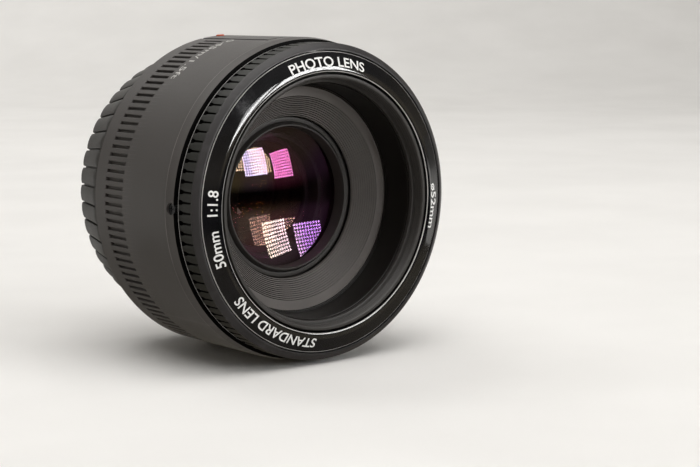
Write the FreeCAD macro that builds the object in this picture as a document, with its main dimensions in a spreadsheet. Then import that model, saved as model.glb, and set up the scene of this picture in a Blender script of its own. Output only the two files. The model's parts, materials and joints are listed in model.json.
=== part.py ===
import FreeCAD, Part
import math
import os

import Sketcher

# Prime lens, 50 mm f/1.8, for a single-lens reflex camera, with its rear dust cap on.
# Millimetres. The optical axis is Y: the front of the lens faces -Y and the camera is on the +Y side.
# The origin is the centre of the bayonet mount's flange face, and +Z is up, through the mount index.
# The lens is focused at infinity, with its front group drawn in and its diaphragm fully open.

Vec = FreeCAD.Vector
doc = FreeCAD.newDocument("prime_lens")

# Driving dimensions. Lengths along the axis are Y values, negative towards the front.
SIZES = [
    # Outer barrel
    ("barrel_radius", 34.0), ("barrel_nose_radius", 33.6), ("barrel_bore", 32.2),
    ("barrel_rear_bore", 31.4),
    ("barrel_front", -31.3), ("barrel_bevel", -28.9), ("barrel_ledge", -13.9), ("barrel_wall", -4.4),
    ("barrel_back", -1.9), ("barrel_throat", 26.0), ("barrel_chamfer", 0.5),
    ("slot_front", -12.9), ("slot_back", -6.3), ("slot_width", 0.75), ("slot_depth", 0.6),
    ("slot_pitch", 2.93),
    ("plate_half_width", 6.1), ("plate_root", 32.6), ("plate_front", -26.0), ("plate_groove", 0.4),
    ("groove_floor", 33.55),
    ("dot_radius", 0.9), ("dot_place", -3.4), ("dot_floor", 33.5), ("dot_top", 34.25), ("dot_round", 0.2),
    ("boss_radius", 1.2), ("boss_circle", 30.9), ("pilot_radius", 0.5),
    # Focus ring
    ("ring_radius", 33.0), ("ring_front", -37.6), ("ring_shoulder_front", -37.0), ("ring_back", -31.9),
    ("ring_bore", 31.5), ("ring_lip", 31.9), ("ring_step", -34.1), ("skirt_radius", 31.8),
    ("skirt_bore", 30.3),
    ("skirt_back", -28.0), ("skirt_groove_radius", 31.1), ("skirt_groove_front", -31.2),
    ("skirt_groove_back", -29.7),
    ("rib_count", 100), ("rib_gap", 1.1), ("rib_shallow", 0.2), ("rib_deep", 0.6), ("rib_front", -37.3),
    ("rib_back", -32.5),
    # Helicoid ring and its guide sleeve
    ("helicoid_radius", 28.4), ("helicoid_bore", 26.9), ("helicoid_front", -35.1),
    ("helicoid_flange", -34.2),
    ("helicoid_flange_radius", 31.3), ("helicoid_back", -16.5), ("ring_gear_front", -18.9),
    ("sleeve_radius", 29.9), ("sleeve_bore", 28.7), ("sleeve_front", -33.9),
    ("sleeve_flange_front", -15.2),
    ("sleeve_flange_back", -14.0), ("sleeve_flange_radius", 32.1),
    ("roller_place", -24.0), ("roller_radius", 1.2), ("roller_play", 0.06), ("roller_shank", 0.7),
    ("focus_travel", 7.5), ("focus_turn", 100.0),
    # Front of the optical unit
    ("name_outer", 31.2), ("name_edge", -37.5), ("name_back", -36.3), ("name_lip", 27.08),
    ("name_lip_front", -38.69),
    ("name_bore", 26.9), ("name_crest", -38.74), ("name_crest_radius", 27.35),
    ("thread_radius", 25.6), ("thread_front", -38.54), ("thread_back", -36.2), ("thread_chamfer", 0.2),
    ("unit_radius", 26.6), ("unit_nose_radius", 26.5), ("unit_bore", 25.1), ("unit_lip", 24.85),
    ("unit_flange_radius", 31.1), ("unit_flange_back", -35.4), ("unit_lip_back", -35.2),
    ("unit_back", -21.0),
    ("web_front", -22.2), ("web_bore", 18.0),
    ("cone_mouth_radius", 24.6), ("cone_mouth", -34.5), ("cone_middle_radius", 21.75),
    ("cone_middle", -30.0),
    ("cone_throat_radius", 17.35), ("cone_throat", -24.95), ("cone_back", -24.2), ("cone_thickness", 0.9),
    ("cone_front", -35.1), ("cone_outer", 25.0),
    # Lens cells, spacers and retaining rings
    ("cell_radius", 17.9), ("cell_front", -23.9), ("cell_seat", -19.05), ("cell_step", -15.5),
    ("cell_back", -9.7),
    ("cell_bore_front", 16.15), ("cell_bore_middle", 13.65), ("cell_bore_back", 11.6),
    ("cell_face_radius", 17.0),
    ("retainer_front", -24.7), ("retainer_back", -21.62), ("retainer_radius", 16.05),
    ("retainer_crest", 15.2),
    ("retainer_bore", 14.9), ("spacer_front", -18.8), ("spacer_back", -15.55), ("spacer_radius", 13.55),
    ("spacer_bore", 12.6),
    ("rear_cell_front", -6.4), ("rear_cell_flange_back", -5.6), ("rear_cell_flange_radius", 18.0),
    ("rear_cell_radius", 14.6), ("rear_cell_bore", 11.1), ("rear_cell_back", 6.2),
    ("rear_spacer_front", -0.3),
    ("rear_spacer_back", 3.25), ("rear_ring_bore", 10.3), ("rear_ring_front", 4.7),
    # Diaphragm
    ("iris_radius", 18.2), ("iris_wall", 17.6), ("iris_opening", 9.2), ("iris_front", -9.6),
    ("iris_floor", -9.1),
    ("iris_back", -6.5), ("iris_gap_angle", 50.0), ("iris_cover_front", -7.1), ("iris_cover_back", -6.6),
    ("iris_ring_front", -8.95), ("iris_ring_back", -8.45), ("iris_ring_bore", 12.6),
    ("iris_ring_module", 0.35),
    ("iris_ring_teeth", 98), ("iris_pinion_teeth", 20), ("iris_turn", 18.0), ("blade_turn", 28.0),
    ("blade_count", 7),
    ("blade_thickness", 0.09), ("blade_level", -8.3), ("blade_spacing", 0.15), ("blade_inner", 9.3),
    ("blade_outer", 13.3), ("blade_span", 104.0), ("pivot_circle", 15.7), ("pivot_radius", 0.5),
    ("pin_circle", 15.0), ("pin_angle", 9.0), ("pin_radius", 0.4), ("pin_play", 0.07),
    # Focus drive
    ("drive_module", 0.3), ("ring_module", 0.35), ("ring_gear_teeth", 150), ("output_teeth", 15),
    ("large_teeth", 24), ("small_teeth", 12), ("motor_teeth", 10), ("gear_thickness", 0.9),
    ("layer_pitch", 1.1),
    ("layer_front", -13.0), ("axle_radius", 0.5), ("axle_play", 0.05), ("gear_plate_front", -13.9),
    ("gear_plate_back", -13.2), ("gear_cover_front", -9.0), ("gear_cover_back", -8.4),
    ("motor_radius", 3.0),
    ("motor_circle", 22.4), ("motor_front", -20.2), ("motor_back", -12.1),
    # Bayonet mount, contacts and circuit board
    ("mount_radius", 32.4), ("mount_bore", 24.0), ("mount_tube", 25.3), ("mount_back", 5.3),
    ("lug_radius", 26.9),
    ("lug_front", 3.0), ("lug_back", 4.6), ("lug_angle", 58.0), ("mount_screw_circle", 29.3),
    ("board_bore", 19.2), ("board_radius", 28.6), ("board_front", -5.4), ("board_back", -4.5),
    ("block_inner", 20.9), ("block_outer", 23.8), ("block_front", -0.9), ("block_back", 4.9),
    ("block_angle", 27.0),
    ("contact_count", 8), ("contact_pitch", 5.2), ("contact_radius", 0.55), ("contact_circle", 22.3),
    ("shield_bore", 15.3), ("shield_front", -1.7), ("shield_back", -1.1),
    # Switch
    ("switch_plate_face", 33.95), ("switch_seat", 33.15), ("switch_plate_front", -17.0),
    ("switch_plate_back", -5.6), ("switch_plate_half", 5.6), ("window_front", -13.5),
    ("window_back", -7.5),
    ("window_half", 1.6),
    # Rear cap
    ("cap_front", 0.5), ("cap_back", 12.0), ("cap_radius", 31.6), ("cap_end_radius", 29.3),
    ("cap_bore", 28.4),
    ("cap_floor", 10.9), ("cap_notches", 48), ("cap_notch_depth", 0.9), ("cap_tab_radius", 25.7),
    ("cap_tab_front", 1.0),
    ("cap_tab_back", 2.6), ("cap_tab_angle", 40.0),
]


class Size:
    """A length or angle that carries both its value and the sheet expression that gives it."""

    def __init__(self, value, text):
        self.value = value
        self.text = text

    def joined(self, other, sign, value):
        return Size(value, "(%s %s %s)" % (self.text, sign, text_of(other)))

    def __add__(self, other):
        return self.joined(other, "+", self.value + value_of(other))

    def __sub__(self, other):
        return self.joined(other, "-", self.value - value_of(other))

    def __mul__(self, other):
        return self.joined(other, "*", self.value * value_of(other))

    def __truediv__(self, other):
        return self.joined(other, "/", self.value / value_of(other))

    def __neg__(self):
        return Size(-self.value, "(0 - %s)" % self.text)


def value_of(size):
    return size.value if isinstance(size, Size) else size


def text_of(size):
    return size.text if isinstance(size, Size) else repr(float(size))


class Sheet:
    """The driving dimensions, held in the document's spreadsheet and read by name."""

    def __init__(self, rows):
        self.sheet = doc.addObject("Spreadsheet::Sheet", "Sizes")
        for row, (name, value) in enumerate(rows, 1):
            self.sheet.set("A%d" % row, name)
            self.sheet.set("B%d" % row, str(value))
            self.sheet.setAlias("B%d" % row, name)
            setattr(self, name, Size(value, "Sizes." + name))


d = Sheet(SIZES)
doc.recompute()

nodes = []      # the objects that are written out, one file each

PAST = 0.1      # a cutter runs this far past the face it opens, and a stud this far into what it stands on
BEYOND = 36.0   # outside the barrel everywhere
WITHIN = 30.0   # inside the barrel wall everywhere


def keep(obj, label):
    """Make obj one of the lens's pieces, under its own name."""
    obj.Label = label
    nodes.append(obj)
    return obj


def bind(obj, prop, size):
    """Set a property from a plain number, or bind it to the sheet."""
    if isinstance(size, Size):
        obj.setExpression(prop, size.text)
    else:
        setattr(obj, prop.lstrip("."), size)


def axis_placement(x, y, z):
    """A placement that turns a primitive's own Z axis to +Y and moves it to x, y, z."""
    return FreeCAD.Placement(Vec(x, y, z), FreeCAD.Rotation(Vec(1, 0, 0), -90))


def place(obj, x, y, z):
    obj.Placement = axis_placement(value_of(x), value_of(y), value_of(z))
    for name, size in (("x", x), ("y", y), ("z", z)):
        if isinstance(size, Size):
            obj.setExpression(".Placement.Base." + name, size.text)


# Primitives, all along the optical axis

def rod(radius, front, back, x=0, z=0):
    obj = doc.addObject("Part::Cylinder", "rod")
    bind(obj, "Radius", radius)
    bind(obj, "Height", back - front if isinstance(back, Size) else -(front - back))
    place(obj, x, front, z)
    return obj


def ball(radius, y):
    obj = doc.addObject("Part::Sphere", "ball")
    bind(obj, "Radius", radius)
    place(obj, 0, y, 0)
    return obj


def block(x0, x1, y0, y1, z0, z1):
    obj = doc.addObject("Part::Box", "block")
    for prop, low, high in (("Length", x0, x1), ("Width", y0, y1), ("Height", z0, z1)):
        if isinstance(low, Size) or isinstance(high, Size):
            obj.setExpression(prop, "%s - %s" % (text_of(high), text_of(low)))
        else:
            setattr(obj, prop, high - low)
    obj.Placement.Base = Vec(value_of(x0), value_of(y0), value_of(z0))
    for name, size in (("x", x0), ("y", y0), ("z", z0)):
        if isinstance(size, Size):
            obj.setExpression(".Placement.Base." + name, size.text)
    return obj


def combine(kind, shapes):
    obj = doc.addObject(kind, "join")
    obj.Shapes = shapes
    return obj


def fuse(*shapes):
    return combine("Part::MultiFuse", list(shapes))


def common(*shapes):
    return combine("Part::MultiCommon", list(shapes))


def cut(base, *tools):
    tool = tools[0] if len(tools) == 1 else fuse(*tools)
    obj = doc.addObject("Part::Cut", "cut")
    obj.Base = base
    obj.Tool = tool
    return obj


def feature(shape):
    obj = doc.addObject("Part::Feature", "shape")
    obj.Shape = shape
    return obj


def at_angle(radius, degrees):
    """The X and Z of a point on a circle about the axis, counted from +X towards +Z."""
    angle = math.radians(degrees)
    return radius * math.cos(angle), radius * math.sin(angle)


def turned_shape(shape, degrees):
    """A copy of a shape turned about the optical axis, from +X towards +Z."""
    copy = shape.copy()
    copy.rotate(Vec(0, 0, 0), Vec(0, -1, 0), degrees)
    return copy


# Turned parts: a closed profile of (Y, radius) points, revolved about the optical axis

def plane_of(body, role):
    for item in body.Origin.OriginFeatures:
        if item.Role == role:
            return item
    raise RuntimeError("no plane " + role)


def closed_profile(body, name, points, role="YZ_Plane"):
    """A sketch of straight lines whose corners are bound to the sheet, one pair of constraints each."""
    sketch = body.newObject("Sketcher::SketchObject", name)
    sketch.AttachmentSupport = [(plane_of(body, role), "")]
    sketch.MapMode = "FlatFace"
    flat = [Vec(value_of(a), value_of(b), 0) for a, b in points]
    lines = [Part.LineSegment(start, flat[(i + 1) % len(flat)]) for i, start in enumerate(flat)]
    sketch.addGeometry(lines, False)
    count = len(points)
    sketch.addConstraint([Sketcher.Constraint("Coincident", i, 2, (i + 1) % count,
                                              1) for i in range(count)])
    for i, (a, b) in enumerate(points):
        for kind, size in (("DistanceX", a), ("DistanceY", b)):
            index = sketch.addConstraint(Sketcher.Constraint(kind, i, 1, value_of(size)))
            if isinstance(size, Size):
                sketch.setExpression("Constraints[%d]" % index, size.text)
    return sketch


def turned(name, points):
    body = doc.addObject("PartDesign::Body", name)
    sketch = closed_profile(body, name + "_profile", points)
    turn = body.newObject("PartDesign::Revolution", name + "_turn")
    turn.Profile = sketch
    turn.ReferenceAxis = (sketch, ["H_Axis"])
    turn.Angle = 360
    body.Tip = turn
    return body


def polar_pocket(body, name, sketch, width, count, angle=360.0):
    """Cut a profile of the YZ plane, width wide, and repeat it about the optical axis."""
    pocket = body.newObject("PartDesign::Pocket", name)
    pocket.Profile = sketch
    pocket.Midplane = True
    pocket.Type = 0
    bind(pocket, "Length", width)
    pattern = body.newObject("PartDesign::PolarPattern", name + "_pattern")
    pattern.Originals = [pocket]
    pattern.Axis = (sketch, ["H_Axis"])
    pattern.Angle = angle
    bind(pattern, "Occurrences", count)
    body.Tip = pattern
    return pattern


# Small hardware

def screw_shape(head_radius, head_depth, shank_radius, length):
    """A cross-head screw along +Z: its head's top at z = 0 and its shank reaching down to -length."""
    head = Part.makeCylinder(head_radius, head_depth, Vec(0, 0, -head_depth))
    shank = Part.makeCylinder(shank_radius, length - head_depth, Vec(0, 0, -length))
    arm, slot, sunk = head_radius * 1.3, head_radius * 0.26, head_depth * 0.55
    cross = Part.makeBox(arm, slot, sunk, Vec(-arm / 2, -slot / 2, -sunk))
    cross = cross.fuse(Part.makeBox(slot, arm, sunk, Vec(-slot / 2, -arm / 2, -sunk)))
    return head.fuse(shank).removeSplitter().cut(cross)


def axial_screws(label, places, top, towards, head_radius, head_depth, shank_radius, length):
    """Screws along the axis: places are (circle radius, angle), and towards is the way the heads face."""
    made = []
    for radius, degrees in places:
        x, z = at_angle(radius, degrees)
        screw = screw_shape(head_radius, head_depth, shank_radius, length)
        screw.Placement = FreeCAD.Placement(Vec(x, value_of(top), z),
                                            FreeCAD.Rotation(Vec(0, 0, 1), Vec(0, towards, 0)))
        made.append(screw)
    return keep(feature(Part.makeCompound(made)), label)


# Gears

def tooth_points(teeth, module, internal):
    """Corner points of a ring of straight-sided teeth, with working clearance, as (radius, angle) pairs."""
    pitch_radius = teeth * module / 2
    pitch_angle = 2 * math.pi / teeth
    if internal:
        tip, root = pitch_radius - 0.75 * module, pitch_radius + 1.05 * module
    else:
        tip, root = pitch_radius + 0.75 * module, pitch_radius - 1.05 * module
    tip_half, root_half = 0.10 * pitch_angle, 0.27 * pitch_angle
    points = []
    for k in range(teeth):
        middle = k * pitch_angle
        points += [(root, middle - root_half), (tip, middle - tip_half), (tip, middle + tip_half),
                   (root, middle + root_half)]
    return points


def toothed_face(teeth, module, phase, internal=False):
    """A flat face in the XZ plane bounded by the teeth; phase, in degrees, is the angle of one tooth."""
    flat = []
    for radius, angle in tooth_points(teeth, module, internal):
        turned_angle = angle + math.radians(phase)
        flat.append(Vec(radius * math.cos(turned_angle), 0, radius * math.sin(turned_angle)))
    return Part.Face(Part.makePolygon(flat + flat[:1]))


def spur(teeth, module, phase, front, thickness):
    return toothed_face(teeth, module, phase).extrude(Vec(0, thickness, 0)).translated(Vec(0, front, 0))


def bored(shape, radius):
    tall = 80.0
    return shape.cut(Part.makeCylinder(radius, tall, Vec(0, -tall / 2, 0), Vec(0, 1, 0)))


def moved(shape, x, z):
    return shape.translated(Vec(x, 0, z))


def sector(inner, outer, front, back, start, span):
    """Part of a ring about the axis, from the angle start through span degrees."""
    tall = back - front
    solid = Part.makeCylinder(outer, tall, Vec(0, 0, 0), Vec(0, 0, 1), span)
    if inner > 0:
        solid = solid.cut(Part.makeCylinder(inner, tall))
    solid.Placement = axis_placement(0, front, 0)
    return turned_shape(solid, start + span)


def pin(radius, front, back, circle, degrees):
    """A plain cylinder along the axis, centred on a circle about it."""
    x, z = at_angle(circle, degrees)
    return Part.makeCylinder(radius, back - front, Vec(x, front, z), Vec(0, 1, 0))


def radial(radius, inner, outer, y, degrees):
    """A cylinder that points away from the axis, from radius inner to radius outer."""
    x, z = at_angle(1.0, degrees)
    radius, inner, outer, y = (value_of(size) for size in (radius, inner, outer, y))
    return Part.makeCylinder(radius, outer - inner, Vec(inner * x, y, inner * z), Vec(x, 0, z))


THIRDS = (90.0, 210.0, 330.0)
RETAINING_ANGLES = (179.0, 299.0, 59.0)
RETAINING_PLACE = -30.5
RING_SCREW_CIRCLE = 30.85
DOT_ANGLE = 94.0
MOUNT_SCREW_ANGLES = (45.0, 135.0, 225.0, 315.0)
BOARD_SCREW_ANGLES = (0.0, 120.0, 240.0)
BOARD_SCREW_CIRCLE = 27.3


# Outer barrel: shell, raised index plate with its groove, switch seat, bosses and screw holes

def main_barrel():
    shell = turned("barrel_shell", [
        (d.barrel_front, d.barrel_bore), (d.barrel_front, d.barrel_nose_radius),
        (d.barrel_bevel, d.barrel_radius),
        (d.barrel_back - d.barrel_chamfer, d.barrel_radius),
        (d.barrel_back, d.barrel_radius - d.barrel_chamfer),
        (d.barrel_back, d.barrel_throat), (d.barrel_wall, d.barrel_throat),
        (d.barrel_wall, d.barrel_rear_bore),
        (d.barrel_ledge, d.barrel_rear_bore), (d.barrel_ledge, d.barrel_bore)])
    slot = closed_profile(shell, "grip_slot", [
        (d.slot_front, d.barrel_radius - d.slot_depth), (d.slot_back, d.barrel_radius - d.slot_depth),
        (d.slot_back, d.barrel_radius + 1.0), (d.slot_front, d.barrel_radius + 1.0)])
    polar_pocket(shell, "grip_slots", slot, d.slot_width, round(360.0 / d.slot_pitch.value))
    end = d.barrel_back - d.barrel_chamfer
    plate = common(block(-d.plate_half_width, d.plate_half_width, d.plate_front, end, d.plate_root, BEYOND),
                   rod(d.barrel_radius, d.plate_front, end))
    bosses = [feature(pin(d.boss_radius.value, d.barrel_ledge.value, d.barrel_wall.value,
                          d.boss_circle.value, a))
              for a in THIRDS]
    seat = block(d.switch_seat, BEYOND, d.switch_plate_front, d.switch_plate_back, -d.switch_plate_half,
                 d.switch_plate_half)
    window = block(WITHIN, BEYOND, d.window_front, d.window_back, -d.window_half, d.window_half)
    holes = [pin(d.pilot_radius.value, d.barrel_ledge.value - PAST, -9.0, d.boss_circle.value,
                 a) for a in THIRDS]
    holes += [pin(0.75, d.barrel_wall.value - PAST, d.barrel_back.value + PAST,
                  d.mount_screw_circle.value, a)
              for a in MOUNT_SCREW_ANGLES]
    holes += [pin(d.pilot_radius.value, d.barrel_wall.value - PAST, -2.9, BOARD_SCREW_CIRCLE,
                  a) for a in BOARD_SCREW_ANGLES]
    for a in RETAINING_ANGLES:
        holes.append(radial(0.75, 31.0, 33.5, RETAINING_PLACE, a))
        holes.append(radial(1.2, 32.85, BEYOND, RETAINING_PLACE, a))
    holes.append(radial(d.dot_radius + 0.05, d.dot_floor, BEYOND, d.dot_place, DOT_ANGLE))
    solid = cut(fuse(shell, plate, *bosses), seat, window, feature(Part.makeCompound(holes)), plate_groove())
    keep(solid, "main_barrel")


def plate_groove():
    """The shallow groove round the sides and front of the index plate."""
    edge = d.plate_half_width + d.plate_groove
    start, end = d.plate_front - d.plate_groove, d.barrel_back + 1.0
    sides = [block(-edge, -d.plate_half_width, start, end, WITHIN, BEYOND),
             block(d.plate_half_width, edge, start, end, WITHIN, BEYOND),
             block(-edge, edge, start, d.plate_front, WITHIN, BEYOND)]
    return cut(fuse(*sides), rod(d.groove_floor, start - PAST, end + PAST))


def mount_index_dot():
    """The raised red dot at the back of the index plate, with a rounded rim."""
    dot = radial(d.dot_radius, d.dot_floor, d.dot_top, d.dot_place, DOT_ANGLE)
    rim = max(dot.Edges, key=lambda edge: math.hypot(edge.CenterOfMass.x, edge.CenterOfMass.z))
    keep(feature(dot.makeFillet(d.dot_round.value, [rim])), "mount_index_dot")


def retaining_screws():
    """Three radial screws near the front edge, whose tips run in the focus ring's groove."""
    made = []
    head_top = 33.45
    for a in RETAINING_ANGLES:
        x, z = at_angle(1.0, a)
        screw = screw_shape(1.1, 0.55, 0.68, head_top - 31.4)
        screw.Placement = FreeCAD.Placement(Vec(head_top * x, RETAINING_PLACE, head_top * z),
                                            FreeCAD.Rotation(Vec(0, 0, 1), Vec(x, 0, z)))
        made.append(screw)
    keep(feature(Part.makeCompound(made)), "retaining_screws")


def switch():
    """The focus-mode switch on the +X side: its label plate and its sliding knob."""
    plate = block(d.switch_seat, d.switch_plate_face, d.switch_plate_front + PAST,
                  d.switch_plate_back - PAST,
                  -(d.switch_plate_half - PAST), d.switch_plate_half - PAST)
    opening = block(WITHIN, BEYOND, d.window_front, d.window_back, -d.window_half, d.window_half)
    keep(cut(plate, opening), "switch_plate")
    stem = block(31.0, 34.2, d.window_front + 0.2, d.window_front + 3.2, -1.4, 1.4)
    tab = block(30.4, 31.05, d.window_front - PAST, d.window_front + 3.5, -2.2, 2.2)
    thumb = block(34.1, 34.6, d.window_front - PAST, d.window_front + 3.5, -1.9, 1.9)
    ridges = [block(34.5, 34.95, d.window_front + y, d.window_front + y + 0.4, -1.9, 1.9) for y in (0.3,
                                                                                                    1.1,
                                                                                                    1.9,
                                                                                                    2.7)]
    keep(fuse(stem, tab, thumb, *ridges), "switch_knob")


# Focus ring, helicoid ring and guide sleeve

def focus_ring():
    ring = turned("focus_ring_blank", [
        (d.ring_front, d.ring_bore), (d.ring_front, d.ring_lip), (d.ring_shoulder_front, d.ring_radius),
        (d.ring_back, d.ring_radius), (d.ring_back, d.skirt_radius), (d.skirt_groove_front, d.skirt_radius),
        (d.skirt_groove_front, d.skirt_groove_radius), (d.skirt_groove_back, d.skirt_groove_radius),
        (d.skirt_groove_back, d.skirt_radius), (d.skirt_back, d.skirt_radius), (d.skirt_back, d.skirt_bore),
        (d.ring_step, d.skirt_bore), (d.ring_step, d.ring_bore)])
    recess = closed_profile(ring, "rib_recess", [
        (d.rib_front, d.ring_radius - d.rib_shallow), (d.rib_back, d.ring_radius - d.rib_deep),
        (d.rib_back, d.ring_radius + 1.0), (d.rib_front, d.ring_radius + 1.0)])
    polar_pocket(ring, "ribs", recess, d.rib_gap, d.rib_count)
    holes = [pin(0.42, d.ring_step.value - PAST, d.ring_step.value + 2.4, RING_SCREW_CIRCLE,
                 a) for a in THIRDS]
    keep(cut(ring, feature(Part.makeCompound(holes))), "focus_ring")


def helicoid_ring():
    tube = turned("helicoid_tube", [
        (d.helicoid_front, d.helicoid_bore), (d.helicoid_front, d.helicoid_flange_radius),
        (d.helicoid_flange, d.helicoid_flange_radius), (d.helicoid_flange, d.helicoid_radius),
        (d.helicoid_back, d.helicoid_radius), (d.helicoid_back, d.helicoid_bore)])
    front, back = d.ring_gear_front.value, d.helicoid_back.value
    rim = Part.makeCylinder(d.helicoid_bore.value + 0.2, back - front, Vec(0, front, 0), Vec(0, 1, 0))
    teeth = toothed_face(int(d.ring_gear_teeth.value), d.ring_module.value, OUTPUT_ANGLE, internal=True)
    hollow = teeth.extrude(Vec(0, back - front + 2.0, 0)).translated(Vec(0, front - 1.0, 0))
    gear = feature(rim.cut(hollow))
    slots = [feature(helical_slot(a)) for a in THIRDS]
    holes = [pin(0.5, d.helicoid_front.value - PAST, d.helicoid_flange.value + PAST, RING_SCREW_CIRCLE,
                 a) for a in THIRDS]
    sinks = [pin(0.5, d.helicoid_front.value - PAST, d.helicoid_front.value + 0.5, RING_SCREW_CIRCLE,
                 a) for a in THIRDS]
    keep(cut(fuse(tube, gear), *slots, feature(Part.makeCompound(holes + sinks))), "helicoid_ring")


def helical_slot(degrees):
    """The cutter of one cam slot, along which a roller moves forward as the ring turns."""
    radius = (d.helicoid_radius.value + d.helicoid_bore.value) / 2
    half_width = d.roller_radius.value + d.roller_play.value
    travel = d.focus_travel.value
    lead = travel * 360.0 / d.focus_turn.value
    around = 2 * math.pi * radius
    norm = math.hypot(lead, around)
    across = Vec(0, lead / norm, around / norm) * half_width
    deep = Vec(1.5, 0, 0)
    start = Vec(radius, 0, 0)
    corners = [start - deep - across, start + deep - across, start + deep + across, start - deep + across]
    profile = Part.makePolygon(corners + corners[:1])
    helix = Part.Wire(Part.makeHelix(lead, travel, radius, 0, True))
    swept = helix.makePipeShell([profile], True, True)
    swept.Placement = FreeCAD.Placement(Vec(0, d.roller_place.value, 0), FreeCAD.Rotation(Vec(1, 0, 0), 90))
    swept = turned_shape(swept, degrees)
    start_end = radial(half_width, radius - 1.5, radius + 1.5, d.roller_place.value, degrees)
    far_end = radial(half_width, radius - 1.5, radius + 1.5, d.roller_place.value - travel,
                     degrees - d.focus_turn.value)
    return swept.fuse(start_end).fuse(far_end)


def ring_screws():
    axial_screws("focus_ring_screws", [(RING_SCREW_CIRCLE, a) for a in THIRDS], d.helicoid_front, -1,
                 0.46, 0.4, 0.38, 2.6)


def guide_sleeve():
    sleeve = turned("sleeve_tube", [
        (d.sleeve_front, d.sleeve_bore), (d.sleeve_front, d.sleeve_radius),
        (d.sleeve_flange_front, d.sleeve_radius),
        (d.sleeve_flange_front, d.sleeve_flange_radius), (d.sleeve_flange_back, d.sleeve_flange_radius),
        (d.sleeve_flange_back, d.sleeve_bore)])
    half = d.roller_radius.value + d.roller_play.value
    y_back, y_front = d.roller_place.value, d.roller_place.value - d.focus_travel.value
    cutters = []
    for a in THIRDS:
        x, z = at_angle(1.0, a)
        slot = Part.makeBox(4.0, y_back - y_front, 2 * half, Vec(27.5, y_front, -half))
        cutters.append(turned_shape(slot, a))
        cutters += [radial(half, 27.5, 31.5, y, a) for y in (y_front, y_back)]
        cutters.append(pin(0.55, d.sleeve_flange_front.value - PAST, d.sleeve_flange_back.value + PAST,
                           d.boss_circle.value, a))
    for a in PLATE_SCREW_ANGLES:
        cutters.append(pin(d.pilot_radius.value, d.sleeve_flange_front.value - PAST,
                           d.sleeve_flange_back.value + PAST,
                           PLATE_SCREW_CIRCLE, a))
    keep(cut(sleeve, feature(fused(cutters))), "guide_sleeve")
    axial_screws("guide_sleeve_screws", [(d.boss_circle.value, a) for a in THIRDS],
                 d.sleeve_flange_front - 0.5, -1, 0.85, 0.5, 0.45, 4.5)


def fused(shapes):
    return shapes[0].multiFuse(shapes[1:])


def cam_rollers():
    made = []
    for a in THIRDS:
        shank = radial(d.roller_shank.value, d.unit_bore.value + PAST, d.unit_radius.value + PAST,
                       d.roller_place.value, a)
        roller = radial(d.roller_radius.value, d.unit_radius.value + 0.05, d.sleeve_radius.value - 0.05,
                        d.roller_place.value, a)
        made.append(shank.fuse(roller).removeSplitter())
    keep(feature(Part.makeCompound(made)), "cam_rollers")


# Optical unit: the part that moves to focus

def inner_barrel():
    chamfered = d.thread_radius + d.thread_chamfer
    tube = turned("inner_tube", [
        (d.thread_front, chamfered), (d.thread_front, d.unit_nose_radius),
        (d.name_back + PAST, d.unit_nose_radius),
        (d.name_back + PAST, d.unit_flange_radius), (d.unit_flange_back, d.unit_flange_radius),
        (d.unit_flange_back, d.unit_radius), (d.unit_back, d.unit_radius), (d.unit_back, d.web_bore),
        (d.web_front, d.web_bore), (d.web_front, d.unit_bore), (d.unit_lip_back, d.unit_bore),
        (d.unit_lip_back, d.unit_lip), (d.thread_back, d.unit_lip), (d.thread_back, d.thread_radius),
        (d.thread_front + d.thread_chamfer, d.thread_radius)])
    holes = [radial(d.roller_shank.value + 0.05, 24.0, 27.5, d.roller_place.value, a) for a in THIRDS]
    keep(cut(tube, feature(Part.makeCompound(holes))), "inner_barrel")


def name_ring():
    """The front trim ring: a convex face that rises to the lip around the filter thread."""
    keep(turned("name_ring_body", [
        (d.name_edge, d.name_outer), (d.name_edge - 0.54, d.name_outer - 1.09),
        (d.name_edge - 0.93, d.name_outer - 2.3),
        (d.name_edge - 1.14, d.name_outer - 3.2), (d.name_crest, d.name_crest_radius),
        (d.name_lip_front, d.name_lip),
        (d.name_lip_front + 0.5, d.name_bore), (d.name_back, d.name_bore), (d.name_back, d.name_outer)]),
        "name_ring")


def front_baffle():
    """The grooved cone between the filter thread and the front element."""
    inner = [(d.cone_front, d.cone_mouth_radius), (d.cone_mouth, d.cone_mouth_radius),
             (d.cone_middle, d.cone_middle_radius), (d.cone_throat, d.cone_throat_radius),
             (d.cone_back, d.cone_throat_radius)]
    outer = [(d.cone_back, d.cone_throat_radius + d.cone_thickness),
             (d.cone_middle, d.cone_middle_radius + d.cone_thickness),
             (d.cone_mouth + 1.0, d.cone_outer), (d.cone_front, d.cone_outer)]
    keep(turned("front_baffle_body", inner + outer), "front_baffle")


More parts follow.
